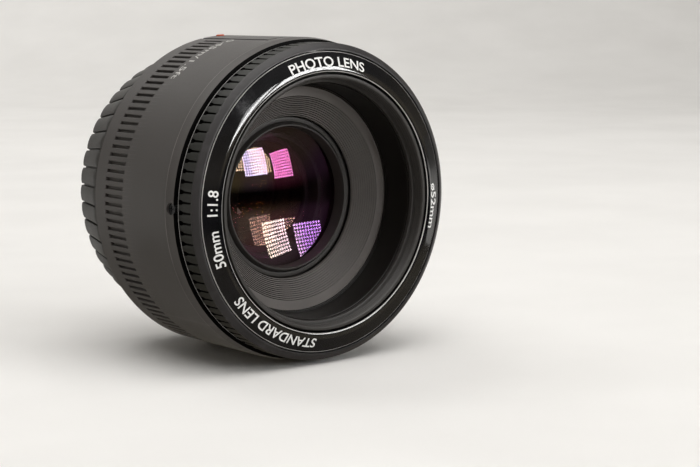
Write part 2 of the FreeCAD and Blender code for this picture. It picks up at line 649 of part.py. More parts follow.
def cells():
    keep(turned("front_cell", [
        (d.cell_front, d.cell_bore_front), (d.cell_front, d.cell_face_radius),
        (d.cell_front + 0.9, d.cell_radius),
        (d.cell_back, d.cell_radius), (d.cell_back, d.cell_bore_back), (d.cell_step, d.cell_bore_back),
        (d.cell_step, d.cell_bore_middle), (d.cell_seat, d.cell_bore_middle),
        (d.cell_seat, d.cell_bore_front)]),
        "front_lens_cell")
    keep(turned("front_retainer", [
        (d.retainer_front, d.retainer_crest), (d.retainer_front, d.retainer_crest + 0.3),
        (d.cell_front + PAST, d.retainer_radius), (d.retainer_back, d.retainer_radius),
        (d.retainer_back, d.retainer_bore + PAST), (d.retainer_back - 0.2, d.retainer_bore)]),
        "front_retaining_ring")
    keep(cut(rod(d.spacer_radius, d.spacer_front, d.spacer_back),
             rod(d.spacer_bore, d.spacer_front - 1.0, d.spacer_back + 1.0)),
         "element_spacer")
    keep(turned("rear_cell", [
        (d.rear_cell_front, d.rear_cell_bore), (d.rear_cell_front, d.rear_cell_flange_radius),
        (d.rear_cell_flange_back, d.rear_cell_flange_radius), (d.rear_cell_flange_back, d.rear_cell_radius),
        (d.rear_cell_back - 0.6, d.rear_cell_radius), (d.rear_cell_back, d.rear_cell_radius - 1.2),
        (d.rear_cell_back, d.rear_cell_bore)]), "rear_lens_cell")
    keep(cut(rod(d.rear_cell_bore - 0.05, d.rear_spacer_front, d.rear_spacer_back),
             rod(d.rear_cell_bore - 0.7, d.rear_spacer_front - 1.0, d.rear_spacer_back + 1.0)),
             "rear_spacer")
    keep(turned("rear_retainer", [
        (d.rear_ring_front, d.rear_ring_bore), (d.rear_ring_front, d.rear_cell_bore - 0.05),
        (d.rear_cell_back, d.rear_cell_bore - 0.05), (d.rear_cell_back, d.rear_ring_bore + 0.4)]),
        "rear_retaining_ring")


# Lens elements:
# (label, edge radius, front vertex, front curve, rear vertex, rear curve, rim front, rim back).
# A curve is its radius: positive bulges towards the front, negative towards the back.
ELEMENTS = (
    ("lens_element_1", 16.05, -24.6, 38.0, -17.3, -42.0, -26.0, -17.3),
    ("lens_element_2", 11.5, -16.6, 40.0, -12.6, -39.0, -16.6, -12.6),
    ("lens_element_3", 11.5, -12.6, -39.0, -11.8, 38.0, -15.0, -9.9),
    ("lens_element_4", 11.0, -3.4, -20.0, -2.2, 0.0, -6.3, -2.2),
    ("lens_element_5", 11.0, -2.2, 0.0, 2.0, -24.0, -2.2, 2.5),
    ("lens_element_6", 11.0, 2.4, 60.0, 6.0, -40.0, 2.0, 6.5),
)


def lens_element(label, edge_radius, front, front_curve, back, back_curve, rim_front, rim_back):
    """A disc of glass cut to its two spherical faces."""
    shape = rod(edge_radius, rim_front, rim_back)
    keepers, cutters = [shape], []
    if front_curve > 0:
        keepers.append(ball(front_curve, front + front_curve))
    if front_curve < 0:
        cutters.append(ball(-front_curve, front + front_curve))
    if back_curve < 0:
        keepers.append(ball(-back_curve, back + back_curve))
    if back_curve > 0:
        cutters.append(ball(back_curve, back + back_curve))
    body = common(*keepers) if len(keepers) > 1 else shape
    keep(cut(body, *cutters) if cutters else body, label)


# Diaphragm: seven blades that pivot on the cover and are driven by pins in the ring's slots

def diaphragm():
    housing = turned("iris_housing", [
        (d.iris_front, d.iris_opening), (d.iris_front, d.iris_radius), (d.iris_back, d.iris_radius),
        (d.iris_back, d.iris_wall), (d.iris_floor, d.iris_wall), (d.iris_floor, d.iris_opening)])
    gap = sector(17.0, 19.0, d.iris_floor.value, d.iris_back.value + PAST,
                 90.0 - d.iris_gap_angle.value / 2,
                 d.iris_gap_angle.value)
    keep(cut(housing, feature(gap)), "diaphragm_housing")
    count = int(d.blade_count.value)
    step = 360.0 / count
    front, thickness = d.iris_ring_front.value, d.iris_ring_back.value - d.iris_ring_front.value
    ring = spur(int(d.iris_ring_teeth.value), d.iris_ring_module.value, 90.0, front, thickness)
    ring = bored(ring, d.iris_ring_bore.value)
    ring = ring.cut(fused([turned_shape(drive_slot(), k * step) for k in range(count)]))
    keep(feature(ring), "aperture_ring")
    for k in range(count):
        keep(feature(turned_shape(aperture_blade(k), k * step)), "aperture_blade_%d" % (k + 1))
    cover = sector(d.iris_opening.value, d.iris_wall.value - PAST, d.iris_cover_front.value,
                   d.iris_cover_back.value, 0, 360)
    holes = [pin(d.pivot_radius.value + 0.05, d.iris_cover_front.value - PAST,
                 d.iris_cover_back.value + PAST,
                 d.pivot_circle.value, k * step) for k in range(count)]
    keep(feature(cover.cut(fused(holes))), "diaphragm_cover")


def flat_shape(polar_points, y, thickness):
    corners = [Vec(*flat_point(radius, degrees, y)) for radius, degrees in polar_points]
    return Part.Face(Part.makePolygon(corners + corners[:1])).extrude(Vec(0, thickness, 0))


def flat_point(radius, degrees, y):
    x, z = at_angle(radius, degrees)
    return x, y, z


def aperture_blade(k):
    """Blade k, with its pivot on the +X side: a thin crescent, a tail around the pivot, and its two pins."""
    y = d.blade_level.value + k * d.blade_spacing.value
    thick = d.blade_thickness.value
    crescent = sector(d.blade_inner.value, d.blade_outer.value, y, y + thick, -4.0,
                      d.blade_span.value + 4.0)
    tail = flat_shape([(12.9, -4), (12.9, 14), (14.9, 12.5), (15.9, 8), (16.7, 3), (16.7, -2),
                       (15.7, -4)], y, thick)
    pivot = pin(d.pivot_radius.value, y, d.iris_cover_back.value - 0.05, d.pivot_circle.value, 0)
    drive = pin(d.pin_radius.value, d.iris_ring_front.value + 0.02, y + thick, d.pin_circle.value,
                d.pin_angle.value)
    return fused([crescent, tail, pivot, drive])


def drive_slot():
    """The cutter of the slot that one blade's drive pin follows, in the ring's own frame."""
    half = d.pin_radius.value + d.pin_play.value
    y, tall = d.iris_ring_front.value - 0.2, 1.0
    steps = 12
    path = [drive_pin_in_ring(i / steps) for i in range(steps + 1)]
    pieces = []
    for i, (x, z) in enumerate(path):
        pieces.append(Part.makeCylinder(half, tall, Vec(x, y, z), Vec(0, 1, 0)))
        if i < steps:
            nx, nz = path[i + 1]
            length = math.hypot(nx - x, nz - z)
            bar = Part.makeBox(length, tall, 2 * half, Vec(0, 0, -half))
            bar.rotate(Vec(0, 0, 0), Vec(0, -1, 0), math.degrees(math.atan2(nz - z, nx - x)))
            pieces.append(bar.translated(Vec(x, y, z)))
    return fused(pieces)


def drive_pin_in_ring(part):
    """Where the first blade's drive pin is, seen from the ring, at a part of the full travel."""
    pivot_x, pivot_z = at_angle(d.pivot_circle.value, 0)
    pin_x, pin_z = at_angle(d.pin_circle.value, d.pin_angle.value)
    swing = math.radians(d.blade_turn.value * part)
    x, z = pin_x - pivot_x, pin_z - pivot_z
    x, z = (pivot_x + x * math.cos(swing) - z * math.sin(swing),
            pivot_z + x * math.sin(swing) + z * math.cos(swing))
    back = -math.radians(d.iris_turn.value * part)
    return x * math.cos(back) - z * math.sin(back), x * math.sin(back) + z * math.cos(back)


def aperture_drive():
    """The small motor at the top of the optical unit, and the pinion that turns the aperture ring."""
    distance = (d.iris_ring_teeth.value + d.iris_pinion_teeth.value) * d.iris_ring_module.value / 2
    front, thickness = d.iris_ring_front.value, d.iris_ring_back.value - d.iris_ring_front.value
    half_tooth = 180.0 / d.iris_pinion_teeth.value
    pinion = spur(int(d.iris_pinion_teeth.value), d.iris_ring_module.value, 270.0 + half_tooth, front,
                  thickness)
    shaft = Part.makeCylinder(0.4, 1.5, Vec(0, front - 1.1, 0), Vec(0, 1, 0))
    keep(feature(moved(pinion.fuse(shaft).removeSplitter(), 0, distance)), "aperture_pinion")
    motor_radius, motor_front, motor_back = 2.6, -20.9, -10.2
    can = rod(motor_radius, motor_front, motor_back, 0, distance)
    collar = rod(1.1, motor_back - 0.5, motor_back + PAST, 0, distance)
    keep(fuse(can, collar), "aperture_motor")


# Focus drive: motor, two double gears and an output gear whose pinion turns the helicoid ring

def along(start_radius, start_angle, radius, distance):
    """The angle at which a point on a circle is the given distance from a point on another circle."""
    cosine = (start_radius ** 2 + radius ** 2 - distance ** 2) / (2 * start_radius * radius)
    return start_angle + math.degrees(math.acos(cosine))


OUTPUT_ANGLE = 270.0
OUTPUT_CIRCLE = (d.ring_gear_teeth.value - d.output_teeth.value) * d.ring_module.value / 2
STAGE = (d.large_teeth.value + d.small_teeth.value) * d.drive_module.value / 2
MOTOR_STAGE = (d.large_teeth.value + d.motor_teeth.value) * d.drive_module.value / 2
SECOND_ANGLE = along(OUTPUT_CIRCLE, OUTPUT_ANGLE, OUTPUT_CIRCLE, STAGE)
FIRST_ANGLE = along(OUTPUT_CIRCLE, SECOND_ANGLE, OUTPUT_CIRCLE, STAGE)
MOTOR_ANGLE = along(OUTPUT_CIRCLE, FIRST_ANGLE, d.motor_circle.value, MOTOR_STAGE)
OUTPUT = at_angle(OUTPUT_CIRCLE, OUTPUT_ANGLE)
SECOND = at_angle(OUTPUT_CIRCLE, SECOND_ANGLE)
FIRST = at_angle(OUTPUT_CIRCLE, FIRST_ANGLE)
MOTOR = at_angle(d.motor_circle.value, MOTOR_ANGLE)
PLATE_SCREW_ANGLES = (257.0, 321.0)
PLATE_SCREW_CIRCLE = 30.4
POST_ANGLES = (264.0, 314.0)
POST_CIRCLE = 30.0


def heading(start, end):
    return math.degrees(math.atan2(end[1] - start[1], end[0] - start[0]))


def layer(index):
    return d.layer_front.value + index * d.layer_pitch.value


def double_gear(label, centre, driven_layer, driven_phase, small_layer, small_phase):
    """A large gear and a small one on one hub, free to turn on their axle."""
    module, thickness = d.drive_module.value, d.gear_thickness.value
    large = spur(int(d.large_teeth.value), module, driven_phase, layer(driven_layer), thickness)
    small = spur(int(d.small_teeth.value), module, small_phase, layer(small_layer), thickness)
    low, high = layer(min(driven_layer, small_layer)), layer(max(driven_layer, small_layer)) + thickness
    hub = Part.makeCylinder(1.2, high - low, Vec(0, low, 0), Vec(0, 1, 0))
    solid = bored(fused([large, small, hub]), d.axle_radius.value + d.axle_play.value)
    keep(feature(moved(solid, *centre)), label)


def focus_drive():
    module, thickness = d.drive_module.value, d.gear_thickness.value
    to_second, to_first, to_motor = heading(OUTPUT, SECOND), heading(SECOND, FIRST), heading(FIRST, MOTOR)
    half_small, half_motor = 180.0 / d.small_teeth.value, 180.0 / d.motor_teeth.value
    half_output = 180.0 / d.output_teeth.value
    driven = spur(int(d.large_teeth.value), module, to_second, layer(0), thickness)
    pinion_front, pinion_back = d.ring_gear_front.value + PAST, d.helicoid_back.value - PAST
    pinion = spur(int(d.output_teeth.value), d.ring_module.value, OUTPUT_ANGLE + half_output, pinion_front,
                  pinion_back - pinion_front)
    hub = Part.makeCylinder(1.2, layer(0) + thickness - pinion_front, Vec(0, pinion_front, 0), Vec(0, 1, 0))
    output = bored(fused([driven, pinion, hub]), d.axle_radius.value + d.axle_play.value)
    keep(feature(moved(output, *OUTPUT)), "output_gear")
    double_gear("reduction_gear_2", SECOND, 1, to_first, 0, to_second + 180.0 + half_small)
    double_gear("reduction_gear_1", FIRST, 2, to_motor, 1, to_first + 180.0 + half_small)
    motor_gear = spur(int(d.motor_teeth.value), module, to_motor + 180.0 + half_motor, layer(2), thickness)
    shaft_front, shaft_back = d.motor_back.value + PAST, layer(2) + thickness + 0.4
    shaft = Part.makeCylinder(0.4, shaft_back - shaft_front, Vec(0, shaft_front, 0), Vec(0, 1, 0))
    keep(feature(moved(motor_gear.fuse(shaft).removeSplitter(), *MOTOR)), "motor_pinion")
    can = rod(d.motor_radius, d.motor_front, d.motor_back - 0.3, *MOTOR)
    collar = rod(1.0, d.motor_back - 0.4, d.motor_back, *MOTOR)
    keep(fuse(can, collar), "focus_motor")
    gear_case()


def gear_case():
    plate_front, plate_back = d.gear_plate_front.value, d.gear_plate_back.value
    cover_front, cover_back = d.gear_cover_front.value, d.gear_cover_back.value
    start, span, inner, outer = 253.0, 72.0, 18.8, 31.2
    hole = d.axle_radius.value + 0.02
    tall = cover_back - plate_front + 2.0
    base = plate_front - 1.0

    def bore_at(centre, radius):
        return Part.makeCylinder(radius, tall, Vec(centre[0], base, centre[1]), Vec(0, 1, 0))

    plate = sector(inner, outer, plate_front, plate_back, start, span)
    posts = [pin(0.9, plate_back - PAST, cover_front - 0.02, POST_CIRCLE, a) for a in POST_ANGLES]
    plate = fused([plate] + posts)
    cuts = [bore_at(OUTPUT, 1.35), bore_at(SECOND, hole), bore_at(FIRST, hole),
            bore_at(MOTOR, d.motor_radius.value + 0.05)]
    cuts += [pin(0.55, plate_front - PAST, plate_back + PAST, PLATE_SCREW_CIRCLE,
                 a) for a in PLATE_SCREW_ANGLES]
    cuts += [pin(0.42, cover_front - 2.5, cover_front, POST_CIRCLE, a) for a in POST_ANGLES]
    keep(feature(plate.cut(fused(cuts))), "gear_plate")
    cover = sector(inner, outer, cover_front, cover_back, start, span)
    cuts = [bore_at(centre, hole) for centre in (OUTPUT, SECOND, FIRST)]
    cuts += [bore_at(MOTOR, 0.6)] + [pin(0.5, cover_front - PAST, cover_back + PAST, POST_CIRCLE,
                                         a) for a in POST_ANGLES]
    keep(feature(cover.cut(fused(cuts))), "gear_cover")
    axle_back = cover_back - 0.05
    starts = ((OUTPUT, -19.6), (SECOND, plate_front + 0.05), (FIRST, plate_front + 0.05))
    axles = [Part.makeCylinder(d.axle_radius.value, axle_back - front, Vec(centre[0], front, centre[1]),
                               Vec(0, 1, 0))
             for centre, front in starts]
    keep(feature(Part.makeCompound(axles)), "gear_axles")
    gearbox_screws(plate_back, cover_back)


def gearbox_screws(plate_back, cover_back):
    made = []
    for circle, angles, top, length in ((PLATE_SCREW_CIRCLE, PLATE_SCREW_ANGLES, plate_back + 0.4, 2.2),
                                        (POST_CIRCLE, POST_ANGLES, cover_back + 0.4, 2.6)):
        for a in angles:
            x, z = at_angle(circle, a)
            screw = screw_shape(0.8, 0.4, 0.38, length)
            screw.Placement = FreeCAD.Placement(Vec(x, top, z),
                                                FreeCAD.Rotation(Vec(0, 0, 1), Vec(0, 1, 0)))
            made.append(screw)
    keep(feature(Part.makeCompound(made)), "gearbox_screws")


# Rear: circuit board, bayonet mount, contacts and light shield

CHIPS = ((24.0, 40.0, 5.0, 5.0), (24.0, 75.0, 3.2, 2.4), (24.5, 100.0, 4.4, 3.2), (24.0, 140.0, 6.0, 4.0),
         (23.5, 175.0, 3.0, 3.0), (24.5, 205.0, 2.4, 4.0), (24.0, 228.0, 2.0, 3.0))


def circuit_board():
    board = cut(rod(d.board_radius, d.board_front, d.board_back),
                rod(d.board_bore, d.board_front - 1.0, d.board_back + 1.0),
                feature(Part.makeCompound([pin(0.6, -6.0, -4.0, BOARD_SCREW_CIRCLE,
                                               a) for a in BOARD_SCREW_ANGLES])))
    keep(board, "circuit_board")
    chips = []
    thick = 0.8
    for circle, degrees, radial_size, tangential in CHIPS:
        chip = Part.makeBox(radial_size, thick, tangential,
                            Vec(circle - radial_size / 2, d.board_front.value - thick, -tangential / 2))
        chips.append(turned_shape(chip, degrees))
    keep(feature(Part.makeCompound(chips)), "board_chips")
    axial_screws("board_screws", [(BOARD_SCREW_CIRCLE, a) for a in BOARD_SCREW_ANGLES],
                 d.board_front - 0.5, -1,
                 1.0, 0.5, 0.45, 2.8)


def mount_ring():
    flange = turned("mount_flange", [
        (d.barrel_back, d.mount_bore), (d.barrel_back, d.mount_radius), (0.0, d.mount_radius),
        (0.0, d.mount_tube), (d.mount_back, d.mount_tube), (d.mount_back, d.mount_bore)])
    lugs = [feature(sector(d.mount_tube.value - 0.2, d.lug_radius.value, d.lug_front.value,
                           d.lug_back.value,
                           a - d.lug_angle.value / 2, d.lug_angle.value)) for a in LUG_ANGLES]
    holes = []
    for a in MOUNT_SCREW_ANGLES:
        holes.append(pin(0.8, d.barrel_back.value - PAST, 0.1, d.mount_screw_circle.value, a))
        holes.append(pin(1.55, -0.65, 0.1, d.mount_screw_circle.value, a))
    lock_notch = pin(1.6, -1.2, 0.1, 29.6, 0.0)
    keep(cut(fuse(flange, *lugs), feature(Part.makeCompound(holes + [lock_notch]))), "mount_ring")
    axial_screws("mount_screws", [(d.mount_screw_circle.value, a) for a in MOUNT_SCREW_ANGLES], 0.0, 1,
                 1.5, 0.6, 0.7, 4.2)


LUG_ANGLES = (90.0, 210.0, 330.0)
BLOCK_SCREW_ANGLES = (246.0, 294.0)


def contacts():
    count = int(d.contact_count.value)
    angles = [270.0 + (k - (count - 1) / 2) * d.contact_pitch.value for k in range(count)]
    body = sector(d.block_inner.value, d.block_outer.value, d.block_front.value, d.block_back.value,
                  270.0 - d.block_angle.value, 2 * d.block_angle.value)
    holes = [pin(d.contact_radius.value + 0.03, -0.7, 5.0, d.contact_circle.value, a) for a in angles]
    holes += [pin(0.5, -1.0, 5.0, d.contact_circle.value, a) for a in BLOCK_SCREW_ANGLES]
    holes += [pin(0.95, d.block_back.value - 0.5, 5.0, d.contact_circle.value,
                  a) for a in BLOCK_SCREW_ANGLES]
    keep(feature(body.cut(fused(holes))), "contact_block")
    pins = [pin(d.contact_radius.value, -0.6, d.block_back.value + 0.3, d.contact_circle.value,
                a) for a in angles]
    keep(feature(Part.makeCompound(pins)), "contact_pins")
    axial_screws("contact_block_screws", [(d.contact_circle.value, a) for a in BLOCK_SCREW_ANGLES],
                 d.block_back, 1, 0.9, 0.45, 0.45, 5.0)


def light_shield():
    keep(turned("light_shield_body", [
        (d.shield_front, d.shield_bore), (d.shield_front, d.mount_bore - 0.15),
        (d.shield_back, d.mount_bore - 0.15),
        (d.shield_back, d.shield_bore + 0.7), (d.shield_back + 2.6, d.shield_bore + 0.7),
        (d.shield_back + 2.6, d.shield_bore)]),
        "light_shield")


def rear_cap():
    """The push-on dust cap: a tapered skirt with grip notches and three bayonet tabs."""
    cap = turned("rear_cap_shell", [
        (d.cap_front, d.cap_bore), (d.cap_front, d.cap_radius - 0.4), (d.cap_front + 0.8, d.cap_radius),
        (d.cap_front + 2.5, d.cap_radius), (d.cap_back - 0.7, d.cap_end_radius + 0.15),
        (d.cap_back, d.cap_end_radius - 0.5),
        (d.cap_back, 0.0), (d.cap_floor, 0.0), (d.cap_floor, d.cap_bore - 1.4),
        (d.cap_floor - 1.4, d.cap_bore)])
    notch = closed_profile(cap, "cap_notch", [
        (d.cap_front + 1.6, d.cap_radius - 0.3), (d.cap_front + 3.2, d.cap_radius - d.cap_notch_depth),
        (d.cap_back + 1.0, d.cap_end_radius - d.cap_notch_depth), (d.cap_back + 1.0, d.cap_radius + 1.0),
        (d.cap_front + 1.6, d.cap_radius + 1.0)])
    polar_pocket(cap, "cap_notches_cut", notch, 1.3, d.cap_notches)
    tabs = [feature(sector(d.cap_tab_radius.value, d.cap_bore.value + 0.2, d.cap_tab_front.value,
                           d.cap_tab_back.value,
                           a + 60.0 - d.cap_tab_angle.value / 2,
                           d.cap_tab_angle.value)) for a in LUG_ANGLES]
    keep(fuse(cap, *tabs), "rear_cap")


main_barrel()
mount_index_dot()
retaining_screws()
switch()
focus_ring()
helicoid_ring()
ring_screws()
guide_sleeve()
cam_rollers()
inner_barrel()
name_ring()
front_baffle()
cells()
for element in ELEMENTS:
    lens_element(*element)
diaphragm()
aperture_drive()
focus_drive()
circuit_board()
mount_ring()
contacts()
light_shield()
rear_cap()

doc.recompute()
for obj in doc.Objects:
    if "Invalid" in obj.State or "Error" in obj.State:
        raise RuntimeError("%s (%s) failed: %s" % (obj.Name, obj.Label, obj.State))
os.makedirs("parts", exist_ok=True)
for node in nodes:
    shape = node.Shape
    if shape.isNull() or not shape.isValid() or not shape.Solids:
        raise RuntimeError(node.Label + " has no valid solid")
    print("%-24s %3d solids %10.2f mm3" % (node.Label, len(shape.Solids), shape.Volume))
    shape.exportStep("parts/%s.step" % node.Label)
print(len(nodes), "nodes")
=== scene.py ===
import json
import math

import bmesh
import bpy
import numpy as np
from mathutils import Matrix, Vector


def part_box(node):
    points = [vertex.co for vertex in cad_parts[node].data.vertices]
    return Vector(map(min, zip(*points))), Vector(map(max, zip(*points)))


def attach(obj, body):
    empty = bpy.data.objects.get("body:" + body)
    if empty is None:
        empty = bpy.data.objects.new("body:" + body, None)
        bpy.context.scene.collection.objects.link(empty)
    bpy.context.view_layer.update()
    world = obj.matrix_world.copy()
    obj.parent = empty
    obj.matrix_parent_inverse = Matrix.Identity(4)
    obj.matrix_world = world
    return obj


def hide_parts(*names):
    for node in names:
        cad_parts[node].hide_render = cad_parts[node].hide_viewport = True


# A 50 mm prime lens with its rear cap on, lying on its barrel on a pale cloth.
# The lens's axis is Y, its front faces -Y and its mount index is up. Working lengths are millimetres,
# and each profile is a list of (Y, radius) corners.

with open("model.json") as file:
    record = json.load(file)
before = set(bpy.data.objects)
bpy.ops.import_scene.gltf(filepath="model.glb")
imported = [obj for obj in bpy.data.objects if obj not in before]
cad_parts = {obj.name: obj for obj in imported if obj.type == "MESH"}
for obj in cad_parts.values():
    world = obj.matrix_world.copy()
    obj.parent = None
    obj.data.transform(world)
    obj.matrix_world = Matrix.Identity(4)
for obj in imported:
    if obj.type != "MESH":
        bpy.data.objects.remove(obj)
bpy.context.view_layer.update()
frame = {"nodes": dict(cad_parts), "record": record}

MM = 0.001
TURN = 2 * math.pi
SHARP = math.radians(28)


# ---------------------------------------------------------------- sizes read from the frame

def extent(node):
    """A CAD node's box in millimetres: (low x, y, z), (high x, y, z)."""
    low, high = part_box(node)
    return np.array(low) / MM, np.array(high) / MM


barrel_low, barrel_high = extent("main_barrel")
ring_low, ring_high = extent("focus_ring")
name_high = extent("name_ring")[1]
nose_low = extent("inner_barrel")[0]
cone_low = extent("front_baffle")[0]
cell_low = extent("front_lens_cell")[0]
retainer_low, retainer_high = extent("front_retaining_ring")
cap_low, cap_high = extent("rear_cap")
dot_low, dot_high = extent("mount_index_dot")

BARREL_RADIUS = -barrel_low[2]
BARREL_FRONT = barrel_low[1]
BARREL_BACK = barrel_high[1]


# ---------------------------------------------------------------- materials

class Nodes:
    """A node tree, built one node at a time."""

    def __init__(self, tree):
        self.tree = tree

    def node(self, kind, inputs=None, **settings):
        made = self.tree.nodes.new(kind)
        for key, value in settings.items():
            setattr(made, key, value)
        for key, value in (inputs or {}).items():
            self.feed(made.inputs[key], value)
        return made

    def feed(self, socket, value):
        if isinstance(value, bpy.types.NodeSocket):
            self.tree.links.new(value, socket)
        else:
            socket.default_value = value

    def place(self):
        """The place on the object, in metres."""
        return self.node("ShaderNodeTexCoord").outputs["Object"]

    def noise(self, place, size, detail=2.0, roughness=0.5):
        """Noise whose features are about size millimetres across."""
        made = self.node("ShaderNodeTexNoise", {
            "Vector": place, "Scale": 1.0 / (size * MM), "Detail": detail, "Roughness": roughness})
        return made.outputs["Fac"]

    def ramp(self, factor, *stops):
        """Colours or grey levels at places along a factor."""
        made = self.node("ShaderNodeValToRGB", {"Fac": factor})
        elements = made.color_ramp.elements
        while len(elements) < len(stops):
            elements.new(1.0)
        for element, (place, colour) in zip(elements, stops):
            element.position = place
            element.color = rgba(colour)
        return made.outputs["Color"]

    def add(self, first, second, clamp=False):
        return self.node("ShaderNodeMath", {0: first, 1: second}, operation="ADD", use_clamp=clamp).outputs[0]

    def spread(self, factor, low, high, source=(0.3, 0.7)):
        """Numbers from low to high, as the factor goes from one end of source to the other."""
        made = self.node("ShaderNodeMapRange", {
            "Value": factor, "From Min": source[0], "From Max": source[1], "To Min": low, "To Max": high})
        return made.outputs["Result"]

    def bump(self, height, depth, normal=None):
        made = self.node("ShaderNodeBump", {"Height": height, "Distance": depth * MM, "Strength": 1.0})
        if normal is not None:
            self.feed(made.inputs["Normal"], normal)
        return made.outputs["Normal"]


class Shader(Nodes):
    """A material of its own."""

    def __init__(self, name):
        self.material = bpy.data.materials.new(name)
        self.material.use_nodes = True
        super().__init__(self.material.node_tree)
        self.tree.nodes.clear()
        self.end = self.tree.nodes.new("ShaderNodeOutputMaterial")

    def finish(self, socket):
        self.feed(self.end.inputs["Surface"], socket)
        return self.material


def rgba(colour):
    """A colour or a grey level with its alpha."""
    if isinstance(colour, (int, float)):
        colour = (colour, colour, colour)
    return (*colour, 1.0)


def shade(colour, share):
    """A colour made darker or paler."""
    return tuple(min(1.0, channel * share) for channel in colour)


# How much paler a worn edge is, and the depth of two kinds of relief in millimetres
WORN_SHARE = 4.0
LATHE_RELIEF = 0.002
INK_RELIEF = 0.002


def surface(name, colour, roughness, grain=0.25, depth=0.004, mottle=0.14, wear=0.0, metallic=0.0,
            coat=0.0, specular=0.5, sheen=0.0):
    """A moulded or painted surface: fine grain in relief, slow changes of tone and gloss, paler edges."""
    s = Shader(name)
    place = s.place()
    broad = s.noise(place, size=9.0, detail=4.0, roughness=0.6)
    fine = s.noise(place, size=grain, detail=3.0, roughness=0.6)
    tone = s.ramp(broad, (0.3, shade(colour, 1 - mottle)), (0.7, shade(colour, 1 + mottle)))
    if wear:
        edges = s.ramp(s.node("ShaderNodeNewGeometry").outputs["Pointiness"], (0.52, 0.0), (0.62, wear))
        worn = rgba(shade(colour, WORN_SHARE))
        # A mix node's colour sockets are 6 and 7, and its colour result is 2
        tone = s.node("ShaderNodeMix", {0: edges, 6: tone, 7: worn}, data_type="RGBA").outputs[2]
    gloss = s.add(s.spread(broad, -0.05, 0.05), s.spread(fine, -0.04, 0.04))
    gloss = s.add(gloss, roughness, clamp=True)
    body = s.node("ShaderNodeBsdfPrincipled", {
        "Base Color": tone, "Roughness": gloss, "Metallic": metallic, "Coat Weight": coat,
        "Coat Roughness": 0.08, "Specular IOR Level": specular, "Sheen Weight": sheen,
        "Sheen Roughness": 0.35, "Normal": s.bump(fine, depth)})
    return s.finish(body.outputs[0])


def turned_metal(name, colour, roughness, pitch=0.12):
    """Metal with the fine rings that a lathe leaves about the axis, on its faces as on its walls."""
    s = Shader(name)
    place = s.place()
    broad = s.noise(place, size=8.0, detail=3.0)
    flat = s.node("ShaderNodeVectorMath", {0: place, 1: (1.0, 0.0, 1.0)}, operation="MULTIPLY")
    radius = s.node("ShaderNodeVectorMath", {0: flat.outputs[0]}, operation="LENGTH").outputs["Value"]
    along = s.node("ShaderNodeSeparateXYZ", {0: place}).outputs["Y"]
    turned = s.node("ShaderNodeCombineXYZ", {"X": radius, "Y": along})
    rings = s.noise(turned.outputs[0], size=pitch, detail=2.0)
    body = s.node("ShaderNodeBsdfPrincipled", {
        "Base Color": s.ramp(broad, (0.3, shade(colour, 0.9)), (0.7, colour)),
        "Roughness": s.spread(rings, roughness - 0.06, roughness + 0.08), "Metallic": 1.0,
        "Normal": s.bump(rings, LATHE_RELIEF)})
    return s.finish(body.outputs[0])


def coated_glass(name, strength, *tints, clear=(0.86, 0.8, 0.84)):
    """Coated glass: it lets light through, and mirrors it in a colour that changes with the angle of view."""
    s = Shader(name)
    place = s.place()
    facing = s.node("ShaderNodeLayerWeight", {"Blend": 0.5}).outputs["Facing"]
    tint = s.ramp(facing, *tints)
    smear = s.noise(place, size=6.0, detail=2.0)
    mirror = s.node("ShaderNodeBsdfGlossy", {"Color": tint, "Roughness": s.spread(smear, 0.001, 0.006)})
    through = s.node("ShaderNodeBsdfTransparent", {"Color": rgba(clear)})
    share = s.spread(facing, strength, min(1.0, strength + 0.5), source=(0.35, 1.0))
    both = s.node("ShaderNodeMixShader", {0: share, 1: through.outputs[0], 2: mirror.outputs[0]})
    return s.finish(both.outputs[0])


def ink(name, colour):
    """Printed paint: matt, slightly uneven in cover."""
    s = Shader(name)
    place = s.place()
    cover = s.noise(place, size=0.5, detail=3.0)
    body = s.node("ShaderNodeBsdfPrincipled", {
        "Base Color": s.ramp(cover, (0.3, shade(colour, 0.85)), (0.7, colour)),
        "Roughness": s.spread(cover, 0.4, 0.6), "Normal": s.bump(cover, INK_RELIEF)})
    return s.finish(body.outputs[0])


WARM_GREY = (0.060, 0.055, 0.053)
RING_BLACK = (0.028, 0.026, 0.027)
GLOSS_BLACK = (0.006, 0.006, 0.007)
INNER_BLACK = (0.034, 0.031, 0.029)

